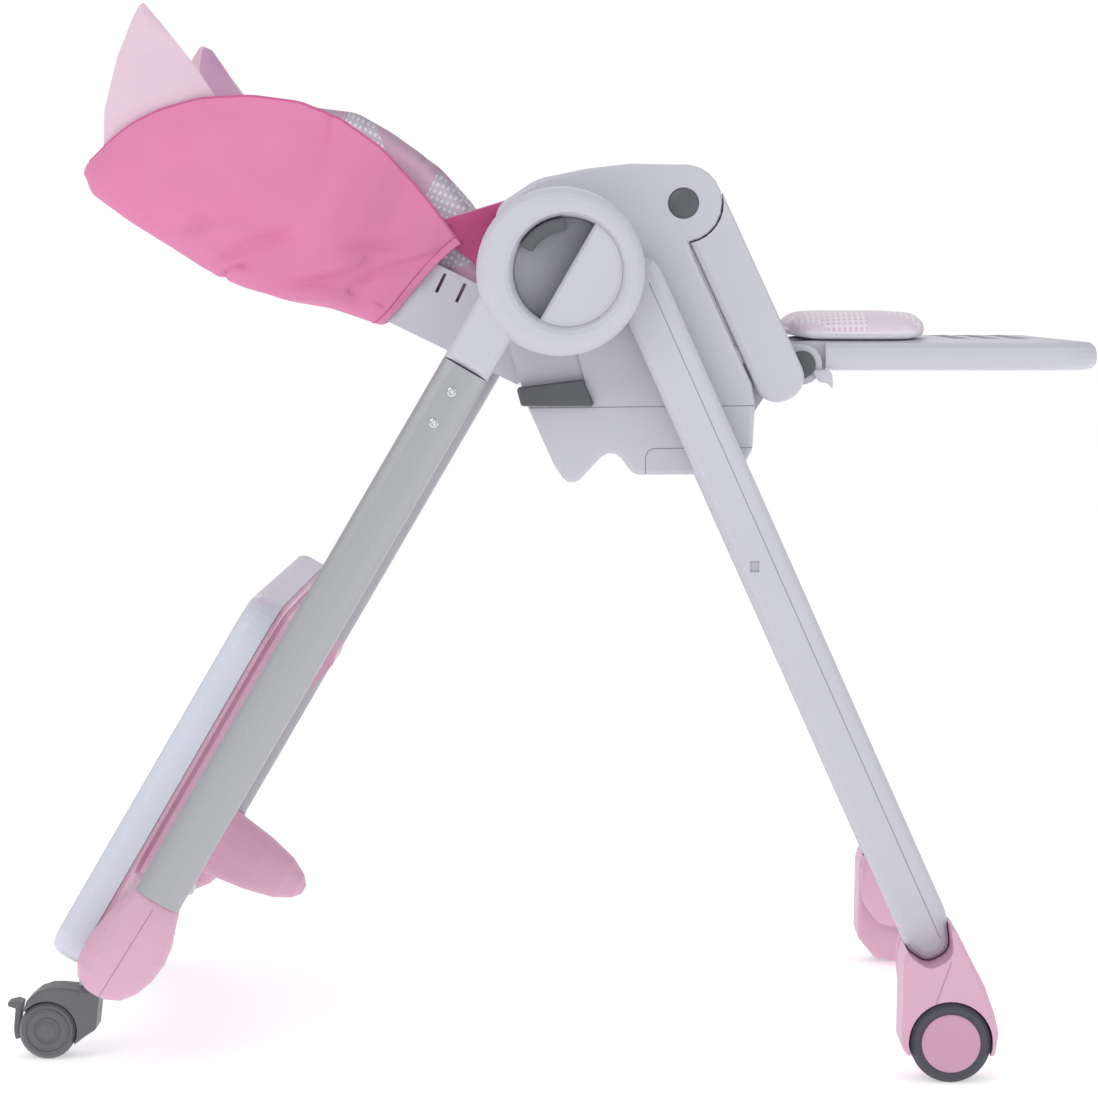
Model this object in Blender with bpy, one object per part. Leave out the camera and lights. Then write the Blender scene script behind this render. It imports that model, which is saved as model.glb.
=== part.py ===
"""Foldable baby high chair: a reclining padded seat that slides down two front legs,
a rear leg frame that folds about two hub rings, castors, a legrest and a stowed tray.

Metres, +Z up, +X the way the child faces, +Y the child's left.  Every outline is drawn
in the side plane (X, Z) and given its thickness along Y.
"""
import math

import bmesh
import bpy
import numpy as np

# ---- driving dimensions -----------------------------------------------------------
GAP = 0.0003                      # air between neighbouring pieces
HUB = (0.010, 0.711)              # folding axis of both hubs
REAR_TILT = math.radians(30.3)    # rear legs, backwards from the vertical
FRONT_TILT = math.radians(24.15)  # front legs, forwards from the vertical
REAR_OFFSET = -0.0286             # rear leg axis behind the hub centre
FRONT_OFFSET = 0.0578             # front leg axis in front of the hub centre
LEG_IN, LEG_OUT = 0.199, 0.235    # front leg faces, distance from the middle plane
LEG_HALF = 0.0225
RING_IN, RING_OUT = 0.240, 0.275
RING_R, WELL_R = 0.073, 0.0472
WELL_SHIFT = 0.006                # the finger well sits ahead of the ring centre
TUBE_Y, TUBE_HALF_Y, TUBE_HALF = 0.256, 0.012, 0.0215
SLEEVE_END, TUBE_END = 0.1138, 0.6547
PANEL_IN, PANEL_OUT = 0.165, 0.195
ARM_PIVOT = (0.1175, 0.7713)
ARM_TILT = math.radians(24.8)
LOBE_R = 0.0345
BACK_PIVOT = (0.0, 0.645)
BACK_TILT = math.radians(26.0)    # backrest above the horizontal when fully reclined
REST_PIVOT = (0.2251, 0.6285)
WHEEL = (0.3532, 0.0355)          # front wheel axle
WHEEL_R, CAP_R = 0.0355, 0.0258
CASTOR_Y, CASTOR_R = 0.175, 0.026
CASTOR = (-0.456, 0.026)          # castor axle when trailing backwards
STEM_X = -0.4229
TRAY_ROUNDER = 0.012                 # extra radius of the stowed tray's upper corners
SIDES = ((-1, "r"), (1, "l"))


# ---- helpers ----------------------------------------------------------------------
def clear_scene():
    for item in list(bpy.data.objects):
        bpy.data.objects.remove(item, do_unlink=True)


def material(name, colour, roughness, metallic=0.0):
    """Principled material from an sRGB hex colour."""
    made = bpy.data.materials.new(name)
    made.use_nodes = True
    shader = made.node_tree.nodes["Principled BSDF"]
    parts = [int(colour[i:i + 2], 16) / 255 for i in (1, 3, 5)]
    linear = [c / 12.92 if c <= 0.04045 else ((c + 0.055) / 1.055) ** 2.4 for c in parts]
    shader.inputs["Base Color"].default_value = (*linear, 1.0)
    shader.inputs["Roughness"].default_value = roughness
    shader.inputs["Metallic"].default_value = metallic
    made.diffuse_color = (*linear, 1.0)
    return made


def frame(tilt, sign):
    """Axes of a leg: along it, away from the hub, and square to it, forwards."""
    along = np.array([sign * math.sin(tilt), -math.cos(tilt)])
    square = np.array([math.cos(tilt), sign * math.sin(tilt)])
    return along, square


def place(basis, origin, points):
    """(along, square) pairs of a tilted frame to (x, z)."""
    return [np.array(origin) + a * basis[0] + s * basis[1] for a, s in points]


REAR = frame(REAR_TILT, -1)
FRONT = frame(FRONT_TILT, 1)
ARM = frame(ARM_TILT, 1)
BACK = (
    np.array([-math.cos(BACK_TILT), math.sin(BACK_TILT)]),
    np.array([math.sin(BACK_TILT), math.cos(BACK_TILT)]),
)


def fillet(points, radius, steps=3):
    """Closed outline with each corner rounded; radius is one value or one per corner."""
    points = [np.array(p, float) for p in points]
    count = len(points)
    radii = radius if isinstance(radius, (list, tuple)) else [radius] * count
    out = []
    for i, corner in enumerate(points):
        a = points[i - 1] - corner
        b = points[(i + 1) % count] - corner
        len_a, len_b = np.linalg.norm(a), np.linalg.norm(b)
        a, b = a / len_a, b / len_b
        half = math.acos(float(np.clip(a @ b, -1.0, 1.0))) / 2
        if radii[i] <= 0 or half > 1.5:
            out.append(corner)
            continue
        reach = min(radii[i] / math.tan(half), 0.48 * min(len_a, len_b))
        size = reach * math.tan(half)
        middle = corner + (a + b) / np.linalg.norm(a + b) * size / math.sin(half)
        first, last = corner + a * reach - middle, corner + b * reach - middle
        turn = math.atan2(first[0] * last[1] - first[1] * last[0], first @ last)
        for k in range(steps + 1):
            c, s = math.cos(turn * k / steps), math.sin(turn * k / steps)
            out.append(middle + (c * first[0] - s * first[1], s * first[0] + c * first[1]))
    return out


def circle(centre, radius, count=24, start=0.0, end=2 * math.pi):
    """Points of a circle, or of an arc when an end is given."""
    whole = abs(end - start - 2 * math.pi) < 1e-9
    angles = np.linspace(start, end, count, endpoint=not whole)
    return [np.array(centre) + radius * np.array([math.cos(t), math.sin(t)]) for t in angles]


def inset(outline, distance):
    """Outline moved inwards by a distance, mitred at the corners."""
    pts = np.array(outline)
    area = np.sum(pts[:, 0] * np.roll(pts[:, 1], -1) - np.roll(pts[:, 0], -1) * pts[:, 1])
    edge = np.roll(pts, -1, 0) - pts
    edge /= np.linalg.norm(edge, axis=1)[:, None]
    normal = np.stack([-edge[:, 1], edge[:, 0]], 1) * np.sign(area)
    before = np.roll(normal, 1, 0)
    both = normal + before
    both /= (1 + np.sum(normal * before, 1))[:, None]
    return pts + both * distance


def loft(rings, closed=False):
    """Skin through rings of equal count, capped, or joined end to end when closed."""
    bm = bmesh.new()
    rows = [[bm.verts.new(tuple(float(c) for c in p)) for p in ring] for ring in rings]
    if closed:
        rows.append(rows[0])
    else:
        bm.faces.new(rows[0])
        bm.faces.new(rows[-1][::-1])
    for low, high in zip(rows, rows[1:]):
        for i in range(len(low)):
            j = (i + 1) % len(low)
            bm.faces.new((low[i], low[j], high[j], high[i]))
    bmesh.ops.recalc_face_normals(bm, faces=bm.faces)
    return bm


def slab(outline, y0, y1, edge=0.0, steps=1):
    """Outline in (x, z) given a thickness between two y, its rims rounded by edge."""
    low, high = min(y0, y1), max(y0, y1)
    levels = [(0.0, low), (0.0, high)]
    if edge > 0:
        bend = [math.pi / 2 * k / steps for k in range(steps + 1)]
        rise = [(edge * (1 - math.sin(t)), edge * (1 - math.cos(t))) for t in bend]
        levels = [(i, low + d) for i, d in rise] + [(i, high - d) for i, d in rise[::-1]]
    rings = []
    for step, level in levels:
        ring = inset(outline, step)
        rings.append([(x, level, z) for x, z in ring])
    return loft(rings)


def turned(profile, centre, count=24, closed=False):
    """Solid of revolution about the Y axis through centre, from (radius, y) pairs."""
    rings = []
    for radius, level in profile:
        rings.append([(x, level, z) for x, z in circle(centre, radius, count)])
    return loft(rings, closed)


def upright(profile, x, y, count=16):
    """Solid of revolution about a vertical axis, from (radius, z) pairs."""
    rings = []
    for radius, level in profile:
        rings.append([(px, py, level) for px, py in circle((x, y), radius, count)])
    return loft(rings)


def block(x0, x1, y0, y1, z0, z1, edge=0.0, steps=2):
    """Box whose corners are rounded in the side plane."""
    corners = [(x0, z0), (x1, z0), (x1, z1), (x0, z1)]
    return slab(fillet(corners, edge, steps) if edge else corners, y0, y1)


def piece(name, bm, paint, pivot=None, smooth=None):
    """Object from a bmesh, its origin on the joint axis."""
    origin = (0.0, 0.0, 0.0) if pivot is None else pivot
    bmesh.ops.translate(bm, verts=bm.verts, vec=[-float(c) for c in origin])
    mesh = bpy.data.meshes.new(name)
    bm.to_mesh(mesh)
    bm.free()
    if smooth:
        mesh.shade_smooth()
        mesh.set_sharp_from_angle(angle=math.radians(smooth))
    mesh.materials.append(paint)
    made = bpy.data.objects.new(name, mesh)
    made.location = origin
    bpy.context.scene.collection.objects.link(made)
    return made


def boolean(target, bm, operation):
    """Add to or cut from a piece with a hidden tool body."""
    mesh = bpy.data.meshes.new("tool")
    bm.to_mesh(mesh)
    bm.free()
    mesh.materials.append(target.data.materials[0])
    tool = bpy.data.objects.new("tool_" + target.name, mesh)
    tool.hide_render = True
    tool.display_type = "WIRE"
    bpy.context.scene.collection.objects.link(tool)
    step = target.modifiers.new(operation.title(), "BOOLEAN")
    step.operation = operation
    step.solver = "EXACT"
    step.object = tool


def axis_point(centre, y):
    return (centre[0], y, centre[1])


# ---- front frame ------------------------------------------------------------------
def leg_outline(grow=0.0):
    """Side outline of a front leg from behind the hub ring to its rounded foot end."""
    near, far = FRONT_OFFSET - LEG_HALF, FRONT_OFFSET + LEG_HALF
    corners = [(0.015, near), (0.672, near), (0.690, 0.046), (0.688, 0.070), (0.655, far),
               (0.015, far)]
    shape = fillet(place(FRONT, HUB, corners), [0.014, 0.016, 0.013, 0.014, 0.03, 0.018], 3)
    return inset(shape, -grow) if grow else shape


def front_frame(paint):
    for side, tag in SIDES:
        leg = piece("front_leg_" + tag,
                    slab(leg_outline(), side * LEG_IN, side * LEG_OUT, 0.008, 3),
                    paint["plastic"], smooth=35)
        boolean(leg, turned([(0.066, side * 0.2005), (0.066, side * 0.2335)], HUB, 32),
                "UNION")
        boolean(leg, turned([(0.0053, side * 0.19), (0.0053, side * 0.24)], HUB, 12),
                "DIFFERENCE")
        slot_x, slot_z = 0.1799, 0.4535
        boolean(leg, block(slot_x - 0.004, slot_x + 0.004, side * 0.232, side * 0.24,
                           slot_z - 0.005, slot_z + 0.005), "DIFFERENCE")
        head, shaft, end = side * 0.1968, side * 0.2000, side * 0.2455
        piece("hub_bolt_" + tag,
              turned([(0.008, head), (0.008, shaft), (0.005, shaft), (0.005, end)], HUB, 12),
              paint["steel"], smooth=35)
        front_foot(side, tag, paint)
    bar = place(FRONT, HUB, [(0.655, FRONT_OFFSET)])[0]
    reach = LEG_IN - GAP
    rings = [(0.011, -reach), (0.011, reach), (0.0095, reach), (0.0095, -reach)]
    piece("front_crossbar", turned(rings, bar, 20, closed=True), paint["tube"], smooth=35)


def front_foot(side, tag, paint):
    """Moulded foot: an inner wall behind the wheel and a fender over it."""
    outline = [(0.3115, 0.1045), (0.3105, 0.030), (0.328, 0.009), (0.350, 0.005),
               (0.376, 0.009), (0.3925, 0.024), (0.3955, 0.044), (0.3911, 0.062),
               (0.3828, 0.0854), (0.3684, 0.1133), (0.3560, 0.1380), (0.330, 0.138),
               (0.3155, 0.120)]
    shape = fillet(outline, 0.008, 2)
    foot = piece("front_foot_" + tag, slab(shape, side * 0.200, side * 0.2615, 0.004, 2),
                 paint["pink"], smooth=35)
    boolean(foot, slab(leg_outline(0.0004), side * 0.19, side * 0.28), "DIFFERENCE")
    boolean(foot, turned([(0.0370, side * 0.2275), (0.0370, side * 0.28)], WHEEL, 40),
            "DIFFERENCE")
    boolean(foot, block(0.29, 0.42, side * 0.2275, side * 0.28, -0.01, 0.024), "DIFFERENCE")
    boolean(foot, turned([(0.0043, side * 0.2070), (0.0043, side * 0.24)], WHEEL, 12),
            "DIFFERENCE")


def front_wheel(side, tag, paint):
    """Rubber tyre on a flat-capped core whose stub axle turns in the foot."""
    pivot = axis_point(WHEEL, side * 0.245)
    bore = CAP_R + GAP
    tyre = [(bore, 0.2305), (WHEEL_R - 0.004, 0.2290), (WHEEL_R, 0.2330), (WHEEL_R, 0.2580),
            (WHEEL_R - 0.004, 0.2620), (bore, 0.2620)]
    piece("front_tyre_" + tag, turned([(r, side * y) for r, y in tyre], WHEEL, 40, True),
          paint["rubber"], pivot, 40)
    core = [(0.004, 0.2075), (0.004, 0.2310), (CAP_R, 0.2310), (CAP_R, 0.2630),
            (CAP_R - 0.001, 0.2640)]
    piece("front_wheel_core_" + tag, turned([(r, side * y) for r, y in core], WHEEL, 40),
          paint["pink"], pivot, 40)


# ---- rear frame -------------------------------------------------------------------
def hub_ring(side, tag, paint):
    """Ring over the folding hub with a finger well, a half-round grip and a leg sleeve."""
    well = (HUB[0] + WELL_SHIFT, HUB[1])
    pivot = axis_point(HUB, side * RING_IN)
    ring = piece("hub_ring_" + tag,
                 slab(circle(HUB, RING_R, 48), side * RING_IN, side * RING_OUT, 0.014, 5),
                 paint["plastic"], pivot, 35)
    half = TUBE_HALF
    sleeve = place(REAR, HUB, [(0.02, REAR_OFFSET - half), (SLEEVE_END, REAR_OFFSET - half),
                               (SLEEVE_END, REAR_OFFSET + half), (0.02, REAR_OFFSET + half)])
    boolean(ring, slab(sleeve, side * 0.243, side * 0.269, 0.008, 3), "UNION")
    flare = [(0.0, 0.248), (0.0, 0.262), (0.001, 0.2680), (0.0035, 0.2725), (0.0080, 0.2753),
             (0.0080, 0.28)]
    boolean(ring, turned([(WELL_R + grow, side * y) for grow, y in flare], well, 40),
            "DIFFERENCE")
    lean = math.radians(60.0)
    grip = circle(well, WELL_R + 0.003, 17, lean - math.pi, lean)
    boolean(ring, slab(grip, side * 0.2465, side * 0.2695, 0.006, 3), "UNION")
    boolean(ring, turned([(0.0053, side * 0.23), (0.0053, side * 0.2458)], HUB, 12),
            "DIFFERENCE")
    outer, inner = 0.0460, 0.0345
    arc = (circle(well, outer, 10, math.radians(92), math.radians(152))
           + circle(well, inner, 10, math.radians(152), math.radians(92)))
    piece("fold_button_" + tag, slab(fillet_ends(arc), side * 0.2515, side * 0.2720, 0.002, 1),
          paint["charcoal"], axis_point(well, side * 0.25), 35)


def fillet_ends(outline):
    """Round only the four sharp corners of a band drawn as two arcs."""
    count = len(outline)
    sharp = {0, count // 2 - 1, count // 2, count - 1}
    return fillet(outline, [0.003 if i in sharp else 0.0 for i in range(count)], 2)


def rear_leg(side, tag, paint):
    """Flattened oval tube, open at both ends, and the bulb-shaped foot below it."""
    def ring(along, middle, half, half_y, count, power=2.6, y=TUBE_Y):
        out = []
        for k in range(count):
            t = 2 * math.pi * k / count
            c, s = math.cos(t), math.sin(t)
            square = middle + half * math.copysign(abs(c) ** (2 / power), c)
            level = y + half_y * math.copysign(abs(s) ** (2 / power), s)
            x, z = place(REAR, HUB, [(along, REAR_OFFSET + square)])[0]
            out.append((x, side * level, z))
        return out

    wall = 0.0018
    top, bottom = SLEEVE_END + GAP, TUBE_END
    tube = [ring(top, 0, TUBE_HALF, TUBE_HALF_Y, 28),
            ring(bottom, 0, TUBE_HALF, TUBE_HALF_Y, 28),
            ring(bottom, 0, TUBE_HALF - wall, TUBE_HALF_Y - wall, 28),
            ring(top, 0, TUBE_HALF - wall, TUBE_HALF_Y - wall, 28)]
    pivot = axis_point(HUB, side * TUBE_Y)
    piece("rear_leg_tube_" + tag, loft(tube, True), paint["tube"], pivot, 40)
    shape = [(0.655, 0.0, 0.0222, 0.0135), (0.668, 0.0, 0.0262, 0.0175),
             (0.686, 0.0005, 0.0318, 0.0212), (0.704, 0.0, 0.0345, 0.0230),
             (0.722, -0.002, 0.0343, 0.0228), (0.738, -0.004, 0.0305, 0.0205),
             (0.750, -0.005, 0.0225, 0.0150), (0.756, -0.006, 0.0120, 0.0080)]
    rings = [ring(a, m, h, hy, 24, 2.2, 0.252) for a, m, h, hy in shape]
    piece("rear_foot_" + tag, loft(rings), paint["pink"], pivot, 40)


def rear_frame(paint):
    for side, tag in SIDES:
        hub_ring(side, tag, paint)
        rear_leg(side, tag, paint)
        bracket = fillet([(-0.4291, 0.079), (-0.370, 0.079), (-0.370, 0.0917),
                          (-0.4291, 0.0917)], 0.004, 2)
        arm = piece("castor_bracket_" + tag,
                    slab(bracket, side * 0.166, side * 0.184, 0.003, 1), paint["pale"],
                    axis_point(HUB, side * CASTOR_Y), 35)
        boolean(arm, upright([(0.006, 0.0657), (0.006, 0.085)], STEM_X, side * CASTOR_Y),
                "UNION")
    bar_reach = 0.2285
    rings = [(0.011, -bar_reach), (0.011, bar_reach), (0.0095, bar_reach),
             (0.0095, -bar_reach)]
    piece("rear_crossbar", turned(rings, (-0.380, 0.1033), 20, True), paint["tube"],
          axis_point(HUB, 0.0), 35)


def castor(side, tag, paint):
    """Hooded twin-wheel castor with a foot brake behind it."""
    y = side * CASTOR_Y
    stem = (STEM_X, y, 0.06)
    hood = [(-0.4785, 0.042), (-0.4745, 0.0535), (-0.465, 0.0615), (-0.4545, 0.0652),
            (-0.4445, 0.0654), (-0.4108, 0.0620), (-0.4085, 0.0590), (-0.4120, 0.0270),
            (-0.4220, 0.0205), (-0.4330, 0.0120), (-0.4560, 0.0160), (-0.4700, 0.0220)]
    body = piece("castor_housing_" + tag,
                 slab(fillet(hood, 0.004, 2), y - 0.0165, y + 0.0165, 0.002, 1),
                 paint["castor"], stem, 35)
    for out in (-1, 1):
        boolean(body, turned([(CASTOR_R + 0.0012, y + out * 0.0052), (CASTOR_R + 0.0012,
                              y + out * 0.03)], CASTOR, 32), "DIFFERENCE")
    boolean(body, turned([(0.0035, y - 0.0150), (0.0035, y + 0.0150)], CASTOR, 12), "UNION")
    for out, end in ((side, "out"), (-side, "in")):
        rim = [(0.0038, 0.0056), (CASTOR_R - 0.002, 0.0056), (CASTOR_R, 0.0076),
               (CASTOR_R, 0.0135), (CASTOR_R - 0.003, 0.0170), (0.0038, 0.0178)]
        piece("castor_wheel_%s_%s" % (end, tag),
              turned([(r, y + out * level) for r, level in rim], CASTOR, 32, True),
              paint["castor"], axis_point(CASTOR, y), 40)
    piece("brake_lever_" + tag, slab(brake_outline(), y - 0.008, y + 0.008),
          paint["castor"], axis_point(CASTOR, y), 35)


def brake_outline():
    """Pedal above a curved tongue that hugs the back of the wheels."""
    inner, outer = CASTOR_R + 0.0016, CASTOR_R + 0.0056
    low, high = math.radians(198), math.radians(166)
    inside = circle(CASTOR, inner, 5, low, high)
    outside = circle(CASTOR, outer, 5, high, low)
    pedal = [(-0.4795, 0.0500), (-0.4850, 0.0520), (-0.4930, 0.0500), (-0.4925, 0.0465),
             (-0.4860, 0.0445)]
    return inside + [np.array(p) for p in pedal] + outside[1:]


# ---- seat -------------------------------------------------------------------------
def panel_outline():
    """Side panel: rounded top, arm lobe in front, two lobes and a saddle notch below."""
    lobe = circle(ARM_PIVOT, LOBE_R, 12, math.radians(100), math.radians(-82))
    edge = place(ARM, ARM_PIVOT, [(0.0480, -0.0113), (0.170, -0.0113)])
    start = [(-0.0195, 0.5903), (-0.0374, 0.6478), (-0.0530, 0.735), (-0.0461, 0.7701),
             (-0.0116, 0.7929), (0.0306, 0.8016), (0.0700, 0.8062)]
    end = [(0.1815, 0.5939), (0.1795, 0.554), (0.168, 0.5325), (0.1292, 0.5316),
           (0.0740, 0.5311), (0.0548, 0.5575), (0.0180, 0.5180), (0.0035, 0.5400)]
    bends = [0.0, 0.02, 0.03, 0.02, 0.04, 0.0, 0.0]
    turns = [0.01, 0.01, 0.010, 0.0, 0.012, 0.012, 0.014, 0.02]
    points = start + lobe + edge + end
    radii = bends + [0.0] * len(lobe) + [0.0, 0.0] + turns
    return fillet(points, radii, 3)


def seat_side(side, tag, paint):
    panel = piece("seat_side_" + tag,
                  slab(panel_outline(), side * PANEL_IN, side * PANEL_OUT, 0.004, 2),
                  paint["plastic"], smooth=35)
    boolean(panel, turned([(0.0352, side * 0.15), (0.0352, side * 0.1797)], ARM_PIVOT, 32),
            "DIFFERENCE")
    boolean(panel, turned([(0.0138, side * 0.15), (0.0138, side * 0.21)], ARM_PIVOT, 24),
            "DIFFERENCE")
    hollow = fillet([(-0.065, 0.5990), (0.0345, 0.5990), (0.0270, 0.6300), (0.0150, 0.6680),
                     (-0.065, 0.6600)], [0.0, 0.006, 0.012, 0.008, 0.0], 2)
    boolean(panel, slab(hollow, side * 0.1910, side * 0.21), "DIFFERENCE")
    lever = fillet([(-0.0255, 0.5925), (0.0400, 0.5925), (0.0290, 0.6165), (-0.0300, 0.6090)],
                   0.002, 1)
    piece("height_lever_" + tag, slab(lever, side * 0.1954, side * 0.2035, 0.0015, 1),
          paint["charcoal"], (0.036, side * 0.2, 0.600), 35)


def armrest(side, tag, paint):
    """Arm folded down along the panel, its thin tongue turning behind the panel lobe."""
    corners = [(0.0, -0.0093), (0.1965, -0.0093), (0.1965, 0.0352), (0.002, 0.0352)]
    shape = fillet(place(ARM, ARM_PIVOT, corners), [0.0, 0.020, 0.021, 0.007], 5)
    pivot = axis_point(ARM_PIVOT, side * 0.18)
    arm = piece("armrest_" + tag, slab(shape, side * 0.1653, side * PANEL_OUT, 0.005, 2),
                paint["plastic"], pivot, 35)
    boolean(arm, turned([(0.0355, side * 0.14), (0.0355, side * 0.21)], ARM_PIVOT, 32),
            "DIFFERENCE")
    tongue = circle(ARM_PIVOT, 0.0335, 18, math.radians(14), math.radians(279))
    tongue += place(ARM, ARM_PIVOT, [(0.055, -0.0070), (0.055, 0.0330)])
    boolean(arm, slab(tongue, side * 0.1660, side * 0.1794), "UNION")
    button = [(0.0135, 0.1830), (0.0135, 0.1952), (0.0122, 0.1964), (0.0085, 0.1977),
              (0.0040, 0.1984)]
    piece("armrest_button_" + tag, turned([(r, side * y) for r, y in button], ARM_PIVOT, 24),
          paint["charcoal"], pivot, 40)


def seat_base(paint):
    """Pan between the panels with two lugs that carry the legrest."""
    half = PANEL_IN - GAP
    pan = piece("seat_base", block(0.006, 0.172, -half, half, 0.560, 0.590, 0.010, 3),
                paint["plastic"], smooth=35)
    arc = circle(REST_PIVOT, 0.018, 9, math.radians(-80), math.radians(90))
    lug = [np.array(p) for p in ((0.110, 0.560), (0.165, 0.560), (0.195, 0.605))] + arc
    lug += [np.array(p) for p in ((0.185, 0.6465), (0.150, 0.600), (0.110, 0.585))]
    for side, tag in SIDES:
        boolean(pan, slab(lug, side * 0.146, side * 0.160), "UNION")
        boolean(pan, turned([(0.0123, side * 0.1525), (0.0123, side * 0.17)], REST_PIVOT, 20),
                "DIFFERENCE")
        button = [(0.012, 0.1562), (0.012, 0.1635), (0.0105, 0.1643), (0.005, 0.1648)]
        piece("legrest_button_" + tag,
              turned([(r, side * y) for r, y in button], REST_PIVOT, 20), paint["charcoal"],
              axis_point(REST_PIVOT, side * 0.156), 40)
    pad = fillet([(0.060, 0.5903), (0.197, 0.5903), (0.197, 0.640), (0.060, 0.632)],
                 [0.005, 0.008, 0.018, 0.014], 3)
    piece("seat_pad", slab(pad, -0.1455, 0.1455, 0.003, 1), paint["pad"], smooth=35)
    piece("harness_buckle", block(0.092, 0.130, -0.019, 0.019, 0.6390, 0.652, 0.004, 2),
          paint["charcoal"], smooth=35)
    strap = [(0.136, 0.6397), (0.176, 0.6412), (0.176, 0.6434), (0.136, 0.6419)]
    piece("crotch_strap", slab(strap, -0.016, 0.016), paint["strap"])


# ---- backrest ---------------------------------------------------------------------
def back_ring(d, low, high, half):
    """Rectangle across the backrest at distance d from its pivot."""
    corners = place(BACK, BACK_PIVOT, [(d, low), (d, high)])
    (x0, z0), (x1, z1) = corners
    return [(x0, -half, z0), (x0, half, z0), (x1, half, z1), (x1, -half, z1)]


def soft_ring(d, low, high, half, bend):
    """The same with its two lower corners rounded."""
    flat = fillet([(-half, low), (half, low), (half, high), (-half, high)],
                  [bend, bend, 0.0, 0.0], 3)
    out = []
    for y, square in flat:
        x, z = place(BACK, BACK_PIVOT, [(d, square)])[0]
        out.append((x, y, z))
    return out


def backrest(paint):
    """Shell, pad with side wings, fabric hood with two pointed ears, and shoulder straps."""
    pivot = axis_point(BACK_PIVOT, 0.0)
    low, high, half = -0.0445, 0.021, 0.157
    wall = circle((0.0, 0.0), 0.021, 9, math.radians(90), math.radians(270))
    side_shape = [(d, s) for d, s in wall] + [(0.012, low), (0.405, low), (0.405, high)]
    shell = piece("backrest_shell", slab(place(BACK, BACK_PIVOT, side_shape), -half, half),
                  paint["plastic"], pivot, 35)
    inner = half - 0.005
    boolean(shell, loft([back_ring(-0.05, low + 0.009, 0.06, inner),
                         back_ring(0.400, low + 0.009, 0.06, inner)]), "DIFFERENCE")
    boolean(shell, loft([back_ring(0.050, -0.06, -0.0390, 0.045),
                         back_ring(0.098, -0.06, -0.0390, 0.045)]), "DIFFERENCE")
    for d in (0.092, 0.112):
        boolean(shell, loft([back_ring(d, -0.002, 0.0165, 0.17),
                             back_ring(d + 0.003, -0.002, 0.0165, 0.17)]), "DIFFERENCE")
    piece("recline_handle", loft([back_ring(0.053, -0.0442, -0.0393, 0.042),
                                  back_ring(0.088, -0.0442, -0.0393, 0.042)]),
          paint["charcoal"], (*place_3d(0.053, -0.0442),))
    tops = [(0.060, 0.030), (0.100, 0.070), (0.140, 0.0895), (0.177, 0.104), (0.214, 0.110),
            (0.249, 0.112), (0.275, 0.103), (0.310, 0.092), (0.360, 0.064), (0.396, 0.024)]
    pad_low = low + 0.009 + GAP
    pad_half = inner - GAP
    pad = piece("backrest_pad", loft([back_ring(d, pad_low, m, pad_half) for d, m in tops]),
                paint["pad"], pivot, 35)
    boolean(pad, loft([back_ring(0.03, -0.008, 0.15, 0.124), back_ring(0.385, -0.008, 0.15,
                                                                        0.124)]),
            "DIFFERENCE")
    hood = [(0.118, -0.0478, 0.048, 0.1635), (0.160, -0.0520, 0.078, 0.1635),
            (0.200, -0.0560, 0.092, 0.1740), (0.230, -0.0640, 0.098, 0.1800),
            (0.290, -0.0710, 0.097, 0.1820), (0.340, -0.0700, 0.079, 0.1820),
            (0.385, -0.0660, 0.046, 0.1810), (0.412, -0.0630, 0.014, 0.1780),
            (0.430, -0.0600, -0.012, 0.1720), (0.4405, -0.0560, -0.034, 0.160)]
    cover = piece("backrest_cover", loft([soft_ring(d, a, b, w, 0.02) for d, a, b, w in hood]),
                  paint["fabric"], pivot, 35)
    boolean(cover, loft([back_ring(0.10, low - GAP, 0.16, half + 0.0005),
                         back_ring(0.4055, low - GAP, 0.16, half + 0.0005)]), "DIFFERENCE")
    for side, tag in SIDES:
        strap = side * 0.035, side * 0.062
        ends = []
        for d in (0.13, 0.35):
            (x0, z0), (x1, z1) = place(BACK, BACK_PIVOT, [(d, -0.0077), (d, -0.0055)])
            ends.append([(x0, strap[0], z0), (x0, strap[1], z0), (x1, strap[1], z1),
                         (x1, strap[0], z1)])
        piece("shoulder_strap_" + tag, loft(ends), paint["strap"], pivot)
        ear = fillet([(0.4312, -0.0110), (0.4500, 0.0200), (0.4580, 0.0650), (0.4600, 0.1145),
                      (0.4545, 0.1150), (0.4258, 0.1013), (0.3939, 0.0857), (0.3600, 0.0690),
                      (0.3850, 0.0475), (0.4120, 0.0155)],
                     [0.0, 0.03, 0.05, 0.003, 0.003, 0.05, 0.05, 0.0, 0.0, 0.0], 3)
        piece("ear_" + tag, slab(place(BACK, BACK_PIVOT, ear), side * 0.1705, side * 0.1765),
              paint["ear"], pivot, 35)


def place_3d(d, square):
    x, z = place(BACK, BACK_PIVOT, [(d, square)])[0]
    return x, 0.0, z


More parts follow.
